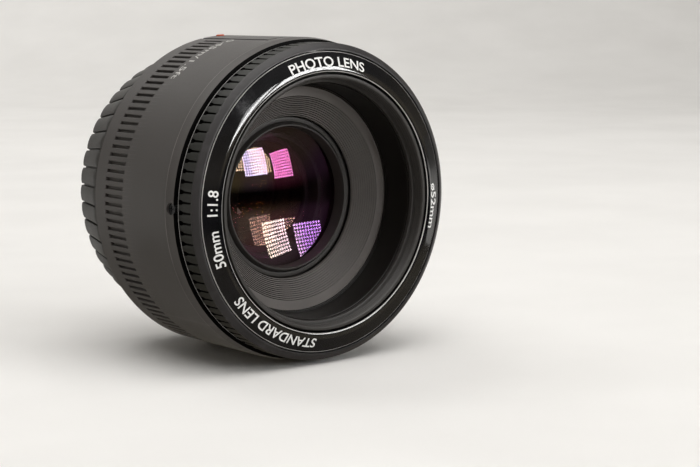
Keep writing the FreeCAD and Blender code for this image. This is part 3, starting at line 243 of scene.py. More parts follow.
# surface(name, colour, roughness, grain, depth of the grain, mottle, wear)
MATERIALS = {
    "barrel_plastic": surface("BarrelPlastic", WARM_GREY, 0.52, 0.22, 0.012, 0.10, 0.10, sheen=0.15),
    "ring_plastic": surface("RingPlastic", RING_BLACK, 0.42, 0.25, 0.008, 0.15, 0.10),
    "rib_black": surface("RibBlack", (0.015, 0.016, 0.014), 0.5, 0.25, 0.008, 0.15, 0.10),
    "name_ring_gloss": surface("NameRingGloss", GLOSS_BLACK, 0.09, 0.3, 0.0002, 0.3, coat=0.1),
    "lip_gloss": surface("LipGloss", GLOSS_BLACK, 0.06, 0.3, 0.0001, 0.3, coat=1.0, specular=1.0),
    "smooth_black": surface("SmoothBlack", (0.008, 0.007, 0.006), 0.36, 0.2, 0.001, 0.12, specular=0.3),
    "grooved_black": surface("GroovedBlack", (0.125, 0.114, 0.108), 0.5, 0.2, 0.004, 0.12),
    # Near-black painted shade, laid on recesses: the barrel's front face behind the focus ring, the groove
    # round the index plate, the focus ring's notches and the cone's grooves
    "painted_shade_black": surface("PaintedShadeBlack", (0.002, 0.002, 0.002), 0.6, 0.2, 0.002, 0.12, specular=0.1),
    # Pale grey painted highlight, laid on thin edges that catch the lamps: the name ring's outer edge and
    # crest, and the focus ring's rear rim
    "painted_edge_highlight": surface("PaintedEdgeHighlight", (0.42, 0.41, 0.40), 0.35, 0.3, 0.001, 0.3),
    # A lighter copy of the barrel's plastic, laid along the bevel's edge as a painted highlight line
    "bevel_highlight": surface("BevelHighlight", (0.13, 0.12, 0.115), 0.45, 0.22, 0.004, 0.2),
    "inner_black": surface("InnerBlack", INNER_BLACK, 0.45, 0.2, 0.004, 0.12, 0.08),
    "cap_plastic": surface("CapPlastic", (0.025, 0.023, 0.021), 0.5, 0.3, 0.012, 0.12, 0.12),
    "index_red": surface("IndexRed", (0.50, 0.08, 0.03), 0.4, 0.3, 0.002, 0.05),
    "mount_metal": turned_metal("MountMetal", (0.62, 0.61, 0.60), 0.28),
    "steel": turned_metal("Steel", (0.55, 0.54, 0.53), 0.3),
    "black_screws": surface("BlackScrews", (0.015, 0.015, 0.016), 0.3, 0.15, 0.002, 0.2, 0.2, metallic=0.6),
    "blade_steel": surface("BladeSteel", (0.02, 0.02, 0.022), 0.35, 0.2, 0.001, 0.2, metallic=0.7),
    "gear_plastic": surface("GearPlastic", (0.62, 0.60, 0.55), 0.4, 0.3, 0.004, 0.06),
    "brass": turned_metal("Brass", (0.70, 0.52, 0.25), 0.3),
    "board_green": surface("BoardGreen", (0.02, 0.11, 0.05), 0.35, 0.4, 0.004, 0.2, coat=0.3),
    "chip_black": surface("ChipBlack", (0.02, 0.02, 0.02), 0.45, 0.2, 0.006, 0.1),
}

# The colours that a coating mirrors, each at a place on the scale from facing the eye (0) to edge on (1)
LILAC = (0.78, 0.62, 1.0)
HOT_PINK = (1.0, 0.22, 0.62)
CREAM = (1.0, 0.93, 0.66)
VIOLET = (0.66, 0.34, 1.0)
WHITE_PINK = (1.0, 0.80, 0.86)
OLIVE = (0.80, 0.74, 0.40)
PLUM = (0.50, 0.14, 0.34)
REAR_COATING = coated_glass("RearCoating", 0.12, (0.10, VIOLET), (0.14, WHITE_PINK), (0.22, CREAM))
GLASSES = {
    "lens_element_1": coated_glass("FrontGlass", 0.10, (0.045, CREAM), (0.065, LILAC), (0.11, LILAC),
                                   (0.155, HOT_PINK), (0.20, HOT_PINK), (0.28, PLUM)),
    "lens_element_2": coated_glass("SecondGlass", 0.20, (0.1, OLIVE), (0.3, OLIVE)),
    "lens_element_3": coated_glass("ThirdGlass", 0.03, (0.1, VIOLET), (0.3, WHITE_PINK)),
    "lens_element_4": coated_glass("FourthGlass", 0.16, (0.1, OLIVE), (0.3, CREAM)),
    "lens_element_5": coated_glass("FifthGlass", 0.03, (0.1, LILAC), (0.3, LILAC)),
    "lens_element_6": coated_glass("RearGlass", 0.12, (0.1, VIOLET), (0.2, WHITE_PINK)),
}
WHITE_INK = ink("WhiteInk", (0.85, 0.85, 0.84))
GREY_INK = ink("GreyInk", (0.60, 0.59, 0.57))


# ---------------------------------------------------------------- mesh tools

TOUCHING = 1e-7
# How many columns a turned piece has about its axis
PLAIN_COLUMNS = 256
FINE_COLUMNS = 320
GLASS_COLUMNS = 128


def put_in_scene(name, data):
    obj = bpy.data.objects.new(name, data)
    bpy.context.scene.collection.objects.link(obj)
    return obj


def add_object(name, mesh, material, body):
    """A visible piece: its mesh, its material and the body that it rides."""
    obj = put_in_scene(name, mesh)
    mesh.materials.clear()
    mesh.materials.append(material)
    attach(obj, body)
    return obj


def soften(obj):
    """Smooth faces with crisp edges, and wide faces that stay flat beside narrow bevels."""
    obj.data.shade_smooth()
    obj.data.set_sharp_from_angle(angle=SHARP)
    weighted = obj.modifiers.new("Normals", "WEIGHTED_NORMAL")
    weighted.keep_sharp = True
    return obj


def save_shape(shape, mesh):
    shape.to_mesh(mesh)
    shape.free()
    return mesh


def tidy_mesh(mesh):
    """Merge the points that meet on the axis, drop empty faces and turn every face outward."""
    shape = bmesh.new()
    shape.from_mesh(mesh)
    bmesh.ops.remove_doubles(shape, verts=shape.verts, dist=TOUCHING)
    bmesh.ops.recalc_face_normals(shape, faces=shape.faces)
    save_shape(shape, mesh)


def rounded(profile, radius=0.12, steps=3, most=0.45):
    """A closed profile with each corner turned into a small curve. A corner may carry its own radius.

    A curve takes at most the given share of the side that it lies on.
    """
    points = [np.array(p[:2], float) for p in profile]
    smooth = []
    for i, here in enumerate(points):
        own = profile[i][2] if len(profile[i]) > 2 else radius
        ends = []
        for other in (points[i - 1], points[(i + 1) % len(points)]):
            run = other - here
            length = np.linalg.norm(run)
            ends.append(here + run * min(own / length, most))
        if own == 0:
            smooth.append(here)
            continue
        for s in np.linspace(0, 1, steps + 1):
            smooth.append((1 - s) ** 2 * ends[0] + 2 * s * (1 - s) * here + s ** 2 * ends[1])
    return smooth


def grid_mesh(name, angle, y, radius):
    """A skin about the axis from rows by columns of angle, Y and radius. Rows and columns both close."""
    rows, columns = radius.shape
    points = np.stack([radius * np.cos(angle), y, radius * np.sin(angle)], -1).reshape(-1, 3) * MM
    index = np.arange(rows * columns).reshape(rows, columns)
    down, across = np.roll(index, -1, 0), np.roll(index, -1, 1)
    faces = np.stack([index, across, np.roll(down, -1, 1), down], -1).reshape(-1, 4)
    mesh = bpy.data.meshes.new(name)
    mesh.from_pydata(points.tolist(), [], faces.tolist())
    tidy_mesh(mesh)
    return mesh


def revolve(name, profile, material, body, columns=PLAIN_COLUMNS):
    """A turned piece from a closed profile."""
    y, radius = np.array(profile).T
    angle = np.linspace(0, TURN, columns, endpoint=False)
    shape = np.ones((len(y), columns))
    mesh = grid_mesh(name, shape * angle, shape * y[:, None], shape * radius[:, None])
    return soften(add_object(name, mesh, material, body))


def paint(obj, material, chosen):
    """Give another material to the faces whose Y, radius and height are chosen."""
    obj.data.materials.append(material)
    for face in obj.data.polygons:
        x, y, z = face.center / MM
        if chosen(y, math.hypot(x, z), z):
            face.material_index = len(obj.data.materials) - 1


def carve(obj, cutters):
    """Cut plain solids out of a piece."""
    joined = bmesh.new()
    for mesh in cutters:
        joined.from_mesh(mesh)
    tool = put_in_scene("cutter", save_shape(joined, bpy.data.meshes.new("cutter")))
    cut = obj.modifiers.new("Cut", "BOOLEAN")
    cut.operation = "DIFFERENCE"
    cut.solver = "EXACT"
    cut.object = tool
    depsgraph = bpy.context.evaluated_depsgraph_get()
    result = bpy.data.meshes.new_from_object(obj.evaluated_get(depsgraph))
    obj.modifiers.clear()
    obj.data = result
    bpy.data.objects.remove(tool)
    return obj


def box_mesh(low, high):
    """A box between two corners."""
    shape = bmesh.new()
    bmesh.ops.create_cube(shape, size=1.0)
    low, high = np.array(low), np.array(high)
    for vert in shape.verts:
        vert.co = Vector((low + (np.array(vert.co) + 0.5) * (high - low)) * MM)
    return save_shape(shape, bpy.data.meshes.new("box"))


def rod_mesh(radius, start, end, sides=48):
    """A cylinder between two points."""
    start, end = Vector(start), Vector(end)
    shape = bmesh.new()
    bmesh.ops.create_cone(shape, cap_ends=True, segments=sides, radius1=radius * MM, radius2=radius * MM,
                          depth=(end - start).length * MM)
    turn = (end - start).to_track_quat("Z", "Y").to_matrix()
    for vert in shape.verts:
        vert.co = turn @ vert.co + (start + end) / 2 * MM
    return save_shape(shape, bpy.data.meshes.new("rod"))


def sector_mesh(inner, outer, front, back, middle, span, steps=24):
    """Part of a ring, as a closed mesh."""
    angles = np.radians(np.linspace(middle - span / 2, middle + span / 2, steps))
    points = [(r * math.cos(a) * MM, y * MM, r * math.sin(a) * MM)
              for a in angles for y, r in ((front, inner), (front, outer), (back, outer), (back, inner))]
    faces = [(0, 1, 2, 3), tuple(4 * (steps - 1) + k for k in (3, 2, 1, 0))]
    for i in range(steps - 1):
        for k in range(4):
            here, beside = 4 * i + k, 4 * i + (k + 1) % 4
            faces.append((here, here + 4, beside + 4, beside))
    mesh = bpy.data.meshes.new("sector")
    mesh.from_pydata(points, [], faces)
    tidy_mesh(mesh)
    return mesh


def fade(distance, *steps):
    """A value read off (distance, value) steps that rise in distance."""
    places, values = zip(*steps)
    return np.interp(distance, places, values)


# ---------------------------------------------------------------- barrel

SLOT_COUNT = 123
SLOT_FRONT, SLOT_BACK = -12.9, -6.3
SLOT_DEPTH = 0.6
SLOT_HALF = 0.375
SLOT_WALL, SLOT_EASE = 0.05, 0.09
SLOT_STEPS = ((SLOT_HALF - SLOT_WALL, SLOT_DEPTH), (SLOT_HALF, 0.06), (SLOT_HALF + SLOT_EASE, 0.0))
# The index plate, the groove round it and the flat seat of the switch. A wall is the width over which the
# skin drops, an ease is the width over which it comes back to its plain shape.
PLATE_HALF = 6.1
PLATE_FRONT = -26.0
PLATE_EASE = 0.12
GROOVE = 0.6
GROOVE_FLOOR = 33.55
# Faces of the groove, which get painted shade: above this height, this near to the floor's radius and in
# front of this place
GROOVE_LOW, GROOVE_BAND, GROOVE_END = GROOVE_FLOOR - 0.65, 0.2, -1.0
SEAT_X = 33.15
SEAT_HALF = 5.6
SEAT_FRONT, SEAT_BACK = -17.0, -5.6
SEAT_WALL = 0.04
WALL, EASE = 0.03, 0.08
PLATE_GAP, SEAT_GAP = 1.2, 0.8
FLAT_COLUMNS = (0, 2, 4)
RIM_STEPS = ((-0.1, 0.0), (0.0, 0.05), (0.1, 0.0))
PLAIN_ROWS = (-27.5, -22.0, -9.6, -4.0)
HAIR = 0.01
NOSE_RADIUS = 33.6
BEVEL_END = -28.9
BEVEL_HALF = 0.1
REAR_CHAMFER = 0.5
MOUNT_BORE, BARREL_BORE, SKIRT_BORE = 26.0, 31.4, 32.2
BACK_WALL, BORE_STEP = -4.4, -13.9
SCREW_ANGLES = (179.0, 299.0, 59.0)
SCREW_PLACE = -30.5
SCREW_HOLE, SCREW_FLOOR = 1.2, 32.85
# The opening that the switch slides in: its front, back and half height, and how deep it is cut
WINDOW = (-13.5, -7.5, 1.6)
WINDOW_FLOOR = 30
PAST_BARREL = 36
DOT_FLOOR = 33.48
DOT_PLAY = 0.04


def slot_angles():
    """The angles of the grip slots, which stop short of the index plate and the switch."""
    kept = []
    for k in range(SLOT_COUNT):
        angle = math.pi / 2 + k * TURN / SLOT_COUNT
        x, z = BARREL_RADIUS * math.cos(angle), BARREL_RADIUS * math.sin(angle)
        if (z > 0 and abs(x) < PLATE_HALF + PLATE_GAP) or (x > 0 and abs(z) < SEAT_HALF + SEAT_GAP):
            continue
        kept.append(angle % TURN)
    return np.array(sorted(kept))


def barrel_columns(slots):
    """The angles that the barrel's skin needs: the edges of each slot, the plate and the switch seat."""
    offsets = [0.0]
    for place, _ in SLOT_STEPS:
        offsets += [place, -place]
    angles = [a + o / BARREL_RADIUS for a in slots for o in offsets]
    angles += [a + math.pi / SLOT_COUNT for a in slots]
    for place in (*FLAT_COLUMNS, PLATE_HALF - PLATE_EASE, PLATE_HALF, PLATE_HALF + WALL,
                  PLATE_HALF + GROOVE - WALL, PLATE_HALF + GROOVE, PLATE_HALF + GROOVE + EASE):
        swing = math.asin(place / BARREL_RADIUS)
        angles += [math.pi / 2 + swing, math.pi / 2 - swing]
    for place in (*FLAT_COLUMNS, SEAT_HALF - WALL, SEAT_HALF, SEAT_HALF + EASE):
        swing = math.asin(place / BARREL_RADIUS)
        angles += [swing, TURN - swing]
    return np.unique(np.round(np.array(angles) % TURN, 6))


def barrel_skin(y, angles, slots):
    """The barrel's outer radius at one place along the axis, for every column."""
    plain = fade(y, (BARREL_FRONT, NOSE_RADIUS), (BEVEL_END, BARREL_RADIUS),
                 (BARREL_BACK - REAR_CHAMFER, BARREL_RADIUS), (BARREL_BACK, BARREL_RADIUS - REAR_CHAMFER))
    across = np.abs((angles[:, None] - slots[None, :] + math.pi) % TURN - math.pi).min(1) * BARREL_RADIUS
    past_end = max(SLOT_FRONT - y, y - SLOT_BACK) + SLOT_HALF
    radius = plain - np.minimum(fade(across, *SLOT_STEPS), fade(past_end, *SLOT_STEPS))
    x, z = BARREL_RADIUS * np.cos(angles), BARREL_RADIUS * np.sin(angles)
    outside = np.maximum(np.abs(x) - PLATE_HALF, PLATE_FRONT - y)
    rim = fade(outside - GROOVE, *RIM_STEPS)
    in_groove = (outside > HAIR) & (outside < GROOVE - HAIR)
    grooved = np.where(in_groove, np.minimum(radius, GROOVE_FLOOR), radius - rim)
    radius = np.where(z > 0, grooved, radius)
    in_seat = (x > 0) & (np.abs(z) < SEAT_HALF - HAIR) & (SEAT_FRONT + HAIR < y < SEAT_BACK - HAIR)
    return np.where(in_seat, SEAT_X / np.maximum(np.cos(angles), 0.5), radius)


def barrel_rows():
    """Places along the axis where the barrel's outer skin changes."""
    rows = [BARREL_FRONT, BEVEL_END - BEVEL_HALF, BEVEL_END + BEVEL_HALF, *PLAIN_ROWS]
    rows += [PLATE_FRONT - GROOVE - EASE, PLATE_FRONT - GROOVE, PLATE_FRONT - GROOVE + WALL]
    rows += [PLATE_FRONT - WALL, PLATE_FRONT, PLATE_FRONT + PLATE_EASE]
    rows += [SEAT_FRONT - EASE, SEAT_FRONT, SEAT_FRONT + SEAT_WALL]
    rows += [SLOT_FRONT - SLOT_EASE, SLOT_FRONT, SLOT_FRONT + SLOT_WALL]
    rows += [SLOT_BACK - SLOT_WALL, SLOT_BACK, SLOT_BACK + SLOT_EASE]
    rows += [SEAT_BACK - SEAT_WALL, SEAT_BACK, SEAT_BACK + EASE]
    rows += [BARREL_BACK - REAR_CHAMFER, BARREL_BACK - REAR_CHAMFER / 2, BARREL_BACK]
    return sorted(rows)


def dot_seat():
    """The round hole that the red index dot stands in."""
    middle = (dot_low + dot_high) / 2
    size = (dot_high[1] - dot_low[1]) / 2 + DOT_PLAY
    across = math.hypot(middle[0], middle[2])
    x, z = middle[0] / across, middle[2] / across
    start, end = DOT_FLOOR, BARREL_RADIUS + 1
    return rod_mesh(size, (start * x, middle[1], start * z), (end * x, middle[1], end * z))


def barrel_cutters():
    """The switch's opening, the three screw holes and the seat of the index dot."""
    front, back, half = WINDOW
    cutters = [box_mesh((WINDOW_FLOOR, front, -half), (PAST_BARREL, back, half))]
    for degrees in SCREW_ANGLES:
        x, z = math.cos(math.radians(degrees)), math.sin(math.radians(degrees))
        floor = (SCREW_FLOOR * x, SCREW_PLACE, SCREW_FLOOR * z)
        cutters.append(rod_mesh(SCREW_HOLE, floor, (PAST_BARREL * x, SCREW_PLACE, PAST_BARREL * z)))
    return cutters + [dot_seat()]


def in_plate_groove(y, radius, height):
    """Whether a face at this place belongs to the groove round the index plate, whose faces get painted
    shade.
    """
    return height > GROOVE_LOW and abs(radius - GROOVE_FLOOR) < GROOVE_BAND and BEVEL_END < y < GROOVE_END


def make_barrel():
    """The outer barrel: slots, plate groove and switch seat in its skin, holes cut afterwards."""
    slots = slot_angles()
    angles = barrel_columns(slots)
    rows = barrel_rows()
    radii = [barrel_skin(y, angles, slots) for y in rows]
    inside = [(BARREL_BACK, MOUNT_BORE), (BACK_WALL, MOUNT_BORE), (BACK_WALL, BARREL_BORE),
              (BORE_STEP, BARREL_BORE), (BORE_STEP, SKIRT_BORE), (BARREL_FRONT, SKIRT_BORE)]
    ones = np.ones(len(angles))
    for y, radius in inside:
        rows.append(y)
        radii.append(ones * radius)
    radii = np.array(radii)
    mesh = grid_mesh("BarrelShell", radii * 0 + angles, radii * 0 + np.array(rows)[:, None], radii)
    barrel = add_object("BarrelShell", mesh, MATERIALS["barrel_plastic"], "barrel")
    carve(barrel, barrel_cutters())
    # Painted highlight: a lighter strip along the bevel's edge
    paint(soften(barrel), MATERIALS["bevel_highlight"],
          lambda y, r, z: abs(y - BEVEL_END) < BEVEL_HALF and r > NOSE_RADIUS)
    # Painted shade: the barrel's front face, in the gap behind the focus ring, is painted near black
    paint(barrel, MATERIALS["painted_shade_black"], lambda y, r, z: y < BARREL_FRONT + HAIR)
    # Painted shade: the groove round the index plate is painted near black
    paint(barrel, MATERIALS["painted_shade_black"], in_plate_groove)
    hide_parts("main_barrel")


# ---------------------------------------------------------------- focus ring

RIB_COUNT = 100
RIB_PITCH = TURN / RIB_COUNT
RIB_FRONT, RIB_BACK = -36.4, -32.3
RIB_LIP, RIB_WALL, RIB_EASE = 0.04, 0.04, 0.10
BAND_EDGE = 32.96
BAND_BACK = -31.9
SKIRT_RADIUS, SKIRT_BACK, SKIRT_INSIDE = 31.8, -28.0, 30.3
FACE_INNER, FACE_BACK = 31.5, -34.1
# Below the ring's radius: the limit of a rib's face, and a depth just past the deepest notch
RIB_FACE, PAST_NOTCH = 0.15, 0.9


def ring_rows(front, radius):
    """Rows of the focus ring's skin: Y, radius, half width of a groove and its depth."""
    before = [(front, FACE_INNER), (front, 31.75), (front + 0.12, 31.98), (front + 0.75, 32.85),
              (front + 0.9, BAND_EDGE)]
    grooves = [(RIB_FRONT, 0.20, radius - BAND_EDGE), (-35.9, 0.20, 0.36), (-33.55, 0.24, 0.40),
               (-33.2, 0.44, 0.78), (RIB_BACK - 0.1, 0.48, 0.84), (RIB_BACK, 0.48, 0.0)]
    after = rounded([(BAND_BACK, radius, 0.14), (BAND_BACK, SKIRT_RADIUS, 0.0), (SKIRT_BACK, SKIRT_RADIUS),
                     (SKIRT_BACK, SKIRT_INSIDE), (FACE_BACK, SKIRT_INSIDE), (FACE_BACK, FACE_INNER, 0.0)])
    rows = [(y, r, 0.20, 0.0) for y, r in before]
    rows += [(y, radius, half, deep) for y, half, deep in grooves]
    return rows + [(y, r, 0.56, 0.0) for y, r in after]


def make_focus_ring():
    """The ring's ribs are flat blocks. The grooves between them open in front and end in deep notches."""
    radius = ring_high[0]
    angle, heights, radii = [], [], []
    for y, r, half, deep in ring_rows(ring_low[1], radius):
        lip = RIB_LIP if deep else 0.0
        offsets = np.array([-half - RIB_EASE, -half, -half + RIB_WALL,
                            half - RIB_WALL, half, half + RIB_EASE])
        columns = np.concatenate([offsets / radius, [RIB_PITCH / 2]])
        drops = np.array([0.0, lip, deep, deep, lip, 0.0, 0.0])
        angle.append(np.concatenate([columns + k * RIB_PITCH for k in range(RIB_COUNT)]))
        heights.append(np.full(RIB_COUNT * len(columns), y))
        radii.append(np.tile(r - drops, RIB_COUNT))
    mesh = grid_mesh("FocusRing", np.array(angle), np.array(heights), np.array(radii))
    ring = soften(add_object("FocusRing", mesh, MATERIALS["ring_plastic"], "focus_ring"))
    face = radius - RIB_FACE
    paint(ring, MATERIALS["rib_black"], lambda y, r, z: RIB_FRONT < y < RIB_BACK and r > face)
    # Painted shade: the deep notches at the back of the grooves are painted near black
    paint(ring, MATERIALS["painted_shade_black"],
          lambda y, r, z: RIB_FRONT + 0.5 < y < RIB_BACK and radius - PAST_NOTCH < r < face)
    # Painted highlight: the rounded rear rim is painted pale grey
    paint(ring, MATERIALS["painted_edge_highlight"], lambda y, r, z: y > BAND_BACK - 0.2 and r > radius - 0.12)
    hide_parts("focus_ring")


# ---------------------------------------------------------------- front of the optical unit

# Corners of the pieces' sections: (Y, radius), some with a rounding of their own
NAME_FACE = ((-37.48, 31.2), (-38.53, 28.6), (-38.65, 28.25), (-38.73, 27.9), (-38.77, 27.6), (-38.78, 27.35))
NAME_BACK, NAME_BORE = -36.3, 26.9
LIP_RADIUS, CREST_RADIUS = 28.3, 27.2
LIP_BEHIND, CREST_BEHIND = -38.0, -38.6
EDGE = 0.13
THREAD_CREST, THREAD_ROOT, THREAD_PITCH = 25.6, 25.9, 0.75
THREAD_END = -36.3
UNIT_NOSE = ((-36.2, 26.5), (-36.2, 31.1), (-35.4, 31.1), (-35.4, 26.6), (-21.0, 26.6), (-21.0, 18.0),
             (-22.2, 18.0), (-22.2, 25.1), (-35.2, 25.1), (-35.2, 24.85, 0.05), (-36.15, 24.85, 0.1),
             (-36.15, THREAD_CREST, 0.0))
CONE_MOUTH, CONE_MIDDLE, CONE_THROAT = (-34.5, 24.6), (-27.9, 21.75), (-24.95, 17.35)
CONE_STEPS = ((-28.5, 24.25), (-28.5, 23.95), (-28.2, 23.95), (-28.2, 23.65), (CONE_MIDDLE[0], 23.65))
CONE_OUTSIDE = ((-24.2, 17.35), (-24.2, 18.25), (-26.9, 22.5), (-27.1, 24.95))
CONE_OUTER = 25.0
CONE_GROOVES = 11
# One groove of the cone: (share of the groove's pitch, depth)
CONE_GROOVE = ((0.10, 0.0), (0.14, 0.30), (0.50, 0.30), (0.56, 0.0))
# A face of the cone that lies this far below its crests is in a groove, and gets painted shade
CONE_GROOVE_BAND = (0.12, 0.5)
CONE_WALL_INNER = 23.7
CELL_INSIDE = ((-9.7, 17.9), (-9.7, 11.6), (-15.5, 11.6), (-15.5, 13.65), (-19.05, 13.65), (-19.05, 16.15))


def face_height(radius):
    """Where the name ring's sloping face lies at a radius, along Y."""
    places = NAME_FACE[::-1]
    return np.interp(radius, [r for _, r in places], [y for y, _ in places])


def make_name_ring():
    """The glossy ring that carries the words: a sloping face and a rounded lip."""
    outer = name_high[0]
    bead = [(y, r, 0.16) for y, r in NAME_FACE[1:]]
    profile = rounded([(NAME_FACE[0][0], outer, 0.14), *bead, (-38.70, 27.08, 0.08), (-38.15, NAME_BORE, 0.2),
                       (NAME_BACK, NAME_BORE), (NAME_BACK, outer)], 0.1, 4)
    ring = revolve("NameRing", profile, MATERIALS["name_ring_gloss"], "optical_unit",
                   FINE_COLUMNS)
    # Painted highlight: the outer edge and the crest of the lip are painted pale grey
    edge_highlight = MATERIALS["painted_edge_highlight"]
    paint(ring, edge_highlight, lambda y, r, z: r > outer - EDGE and y < NAME_FACE[0][0] + EDGE)
    paint(ring, MATERIALS["lip_gloss"], lambda y, r, z: r < LIP_RADIUS and y < LIP_BEHIND)
    paint(ring, edge_highlight, lambda y, r, z: r < CREST_RADIUS and y < CREST_BEHIND)
    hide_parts("name_ring")


def make_filter_thread():
    """The nose of the inner barrel: a female thread, then the smooth lip behind it."""
    front = nose_low[1]
    inside = []
    y = front + 0.35
    while y < THREAD_END:
        inside += [(y, THREAD_CREST, 0.03), (y + 0.12, THREAD_CREST, 0.03),
                   (y + THREAD_PITCH / 2, THREAD_ROOT, 0.05)]
        y += THREAD_PITCH
    outside = [(front, THREAD_CREST + 0.25, 0.06), (front, UNIT_NOSE[0][1], 0.08), *UNIT_NOSE]
    profile = rounded(outside + inside[::-1], 0.1, 2)
    nose = revolve("InnerBarrel", profile, MATERIALS["inner_black"], "optical_unit",
                   FINE_COLUMNS)
    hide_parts("inner_barrel")


def make_baffle():
    """The cone behind the thread: a dark wall, a flat stepped ledge, then fine grooves against glare."""
    front, middle, throat = cone_low[1], CONE_MIDDLE, CONE_THROAT
    inner = [(front, CONE_MOUTH[1], 0.1), (*CONE_MOUTH, 0.3), *[(y, r, 0.04) for y, r in CONE_STEPS],
             (*middle, 0.1)]
    run = np.array(throat) - np.array(middle)
    across = np.array([-run[1], run[0]]) / np.linalg.norm(run)
    for k in range(CONE_GROOVES):
        for share, depth in CONE_GROOVE:
            y, r = np.array(middle) + run * (k + share) / CONE_GROOVES + across * depth
            inner.append((y, r, 0.02))
    profile = rounded(inner + [(*throat, 0.1), *CONE_OUTSIDE, (front, CONE_OUTER)], 0.1, 1)
    baffle = revolve("FrontBaffle", profile, MATERIALS["grooved_black"], "optical_unit",
                     FINE_COLUMNS)
    low, high = CONE_GROOVE_BAND
    paint(baffle, MATERIALS["smooth_black"], lambda y, r, z: y < middle[0] - 0.1 and r > CONE_WALL_INNER)
    # Painted shade: the floors and walls of the fine grooves are painted near black
    paint(baffle, MATERIALS["painted_shade_black"],
          lambda y, r, z: middle[0] < y < throat[0] and low < r - fade(y, middle, throat) < high)
    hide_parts("front_baffle")


def make_front_cell():
    """The cell that holds the front elements, and the ring that keeps the first one in."""
    front = cell_low[1]
    face = [(front, CELL_INSIDE[-1][1], 0.05), (front, 17.0, 0.1), (front + 0.9, CELL_INSIDE[0][1])]
    cell = revolve("FrontCell", rounded([*face, *CELL_INSIDE]), MATERIALS["inner_black"], "optical_unit")
    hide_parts("front_lens_cell")
    crest, back = retainer_low[1], retainer_high[1]
    ring = revolve("FrontRetainingRing", rounded([
        (crest, 15.2, 0.06), (crest, 15.5, 0.06), (front + 0.1, 16.05, 0.1), (back, 16.05), (back, 15.0),
        (back - 0.2, 14.9, 0.1)], 0.05, 4), MATERIALS["inner_black"], "optical_unit")
    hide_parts("front_retaining_ring")


# ---------------------------------------------------------------- glass

# (node, rim radius, front vertex, front curve, rear vertex, rear curve). A positive curve bulges forward,
# and a curve of 0 is flat.
ELEMENTS = (
    ("lens_element_1", 16.05, -24.6, 38.0, -17.3, -42.0),
    ("lens_element_2", 11.5, -16.6, 40.0, -12.6, -39.0),
    ("lens_element_3", 11.5, -12.6, -39.0, -11.8, 38.0),
    ("lens_element_4", 11.0, -3.4, -20.0, -2.2, 0.0),
    ("lens_element_5", 11.0, -2.2, 0.0, 2.0, -24.0),
    ("lens_element_6", 11.0, 2.4, 60.0, 6.0, -40.0),
)


def sphere_line(vertex, curve, rim, steps=28):
    """(Y, radius) points along a spherical face from the axis to the rim."""
    radius = np.linspace(0, rim, steps)
    if curve == 0:
        return [(vertex, r) for r in radius]
    size = abs(curve)
    sag = (size - np.sqrt(size ** 2 - radius ** 2)) * math.copysign(1, curve)
    return list(zip(vertex + sag, radius))


# How far a skin lies inside these faces, so that the faces of two glued elements never coincide
CURVED_GAP, FLAT_GAP, RIM_GAP = 0.02, 0.03, 0.03


def make_glass():
    """A coated skin for each element. The front element's rear face mirrors in another colour."""
    for node, rim, front, front_curve, back, back_curve in ELEMENTS:
        back_end = extent(node)[1][1]
        gap = CURVED_GAP if front_curve else FLAT_GAP
        face = sphere_line(front + gap, front_curve, rim - RIM_GAP)
        rear = sphere_line(back - gap, back_curve, rim - RIM_GAP)
        rear = [(min(y, back_end), r) for y, r in rear]
        name = node.title().replace("_", "")
        glass = revolve(name, face + rear[::-1], GLASSES[node], "optical_unit",
                        GLASS_COLUMNS)
        if node == "lens_element_1":
            paint(glass, REAR_COATING, lambda y, r, z: y > (front + back) / 2)
        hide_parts(node)


# ---------------------------------------------------------------- rear cap

CAP_TEETH = 48
CAP_END = 29.3
CAP_BORE, CAP_FLOOR = 28.4, 10.9
# One tooth: shares of the pitch, and how far the skin lies below the tooth's top there
TOOTH_SHARES = np.array([-0.5, -0.46, -0.44, -0.40, -0.25, 0.0, 0.25, 0.40, 0.44, 0.46])
TOOTH_DROPS = np.array([0.9, 0.85, 0.30, 0.20, 0.06, 0.0, 0.06, 0.20, 0.30, 0.85])
TAB_ANGLES = (150.0, 270.0, 30.0)


def cap_rows(front, back, skirt, end):
    """Corners of the cap's section: Y, radius and how deep the teeth are there."""
    return [(front, skirt - 0.4, 0.0), (front + 0.25, skirt - 0.1, 0.0), (front + 0.8, skirt, 0.0),
            (front + 1.5, skirt, 0.0), (front + 1.7, skirt, 1.0), (front + 2.5, skirt, 1.0),
            (back - 0.9, end + 0.2, 1.0), (back - 0.45, end + 0.05, 1.0), (back - 0.12, end - 0.25, 1.0),
            (back, end - 0.6, 1.0), (back, end - 1.4, 0.0), (back, 24.0, 0.0), (back - 0.35, 23.7, 0.0),
            (back - 0.35, 0.0, 0.0), (CAP_FLOOR, 0.0, 0.0), (CAP_FLOOR, 27.0, 0.0), (9.5, CAP_BORE, 0.0),
            (front, CAP_BORE, 0.0)]


def make_rear_cap():
    """The push-on cap: rounded grip teeth with a straight notch between each pair, and three tabs inside."""
    pitch = TURN / CAP_TEETH
    columns = np.concatenate([(TOOTH_SHARES + k) * pitch for k in range(CAP_TEETH)])
    drops = np.tile(TOOTH_DROPS, CAP_TEETH)
    rows = np.array(cap_rows(cap_low[1], cap_high[1], cap_high[0], CAP_END))
    radius = np.maximum(rows[:, 1:2] - rows[:, 2:3] * drops, 0.0)
    mesh = grid_mesh("RearCap", radius * 0 + columns, radius * 0 + rows[:, :1], radius)
    cap = soften(add_object("RearCap", mesh, MATERIALS["cap_plastic"], "rear_cap"))
    for k, degrees in enumerate(TAB_ANGLES):
        tab = sector_mesh(inner=25.7, outer=28.5, front=1.0, back=2.6, middle=degrees, span=40.0)
        soften(add_object("RearCapTab%d" % (k + 1), tab, MATERIALS["cap_plastic"], "rear_cap"))
    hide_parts("rear_cap")


# ---------------------------------------------------------------- lettering

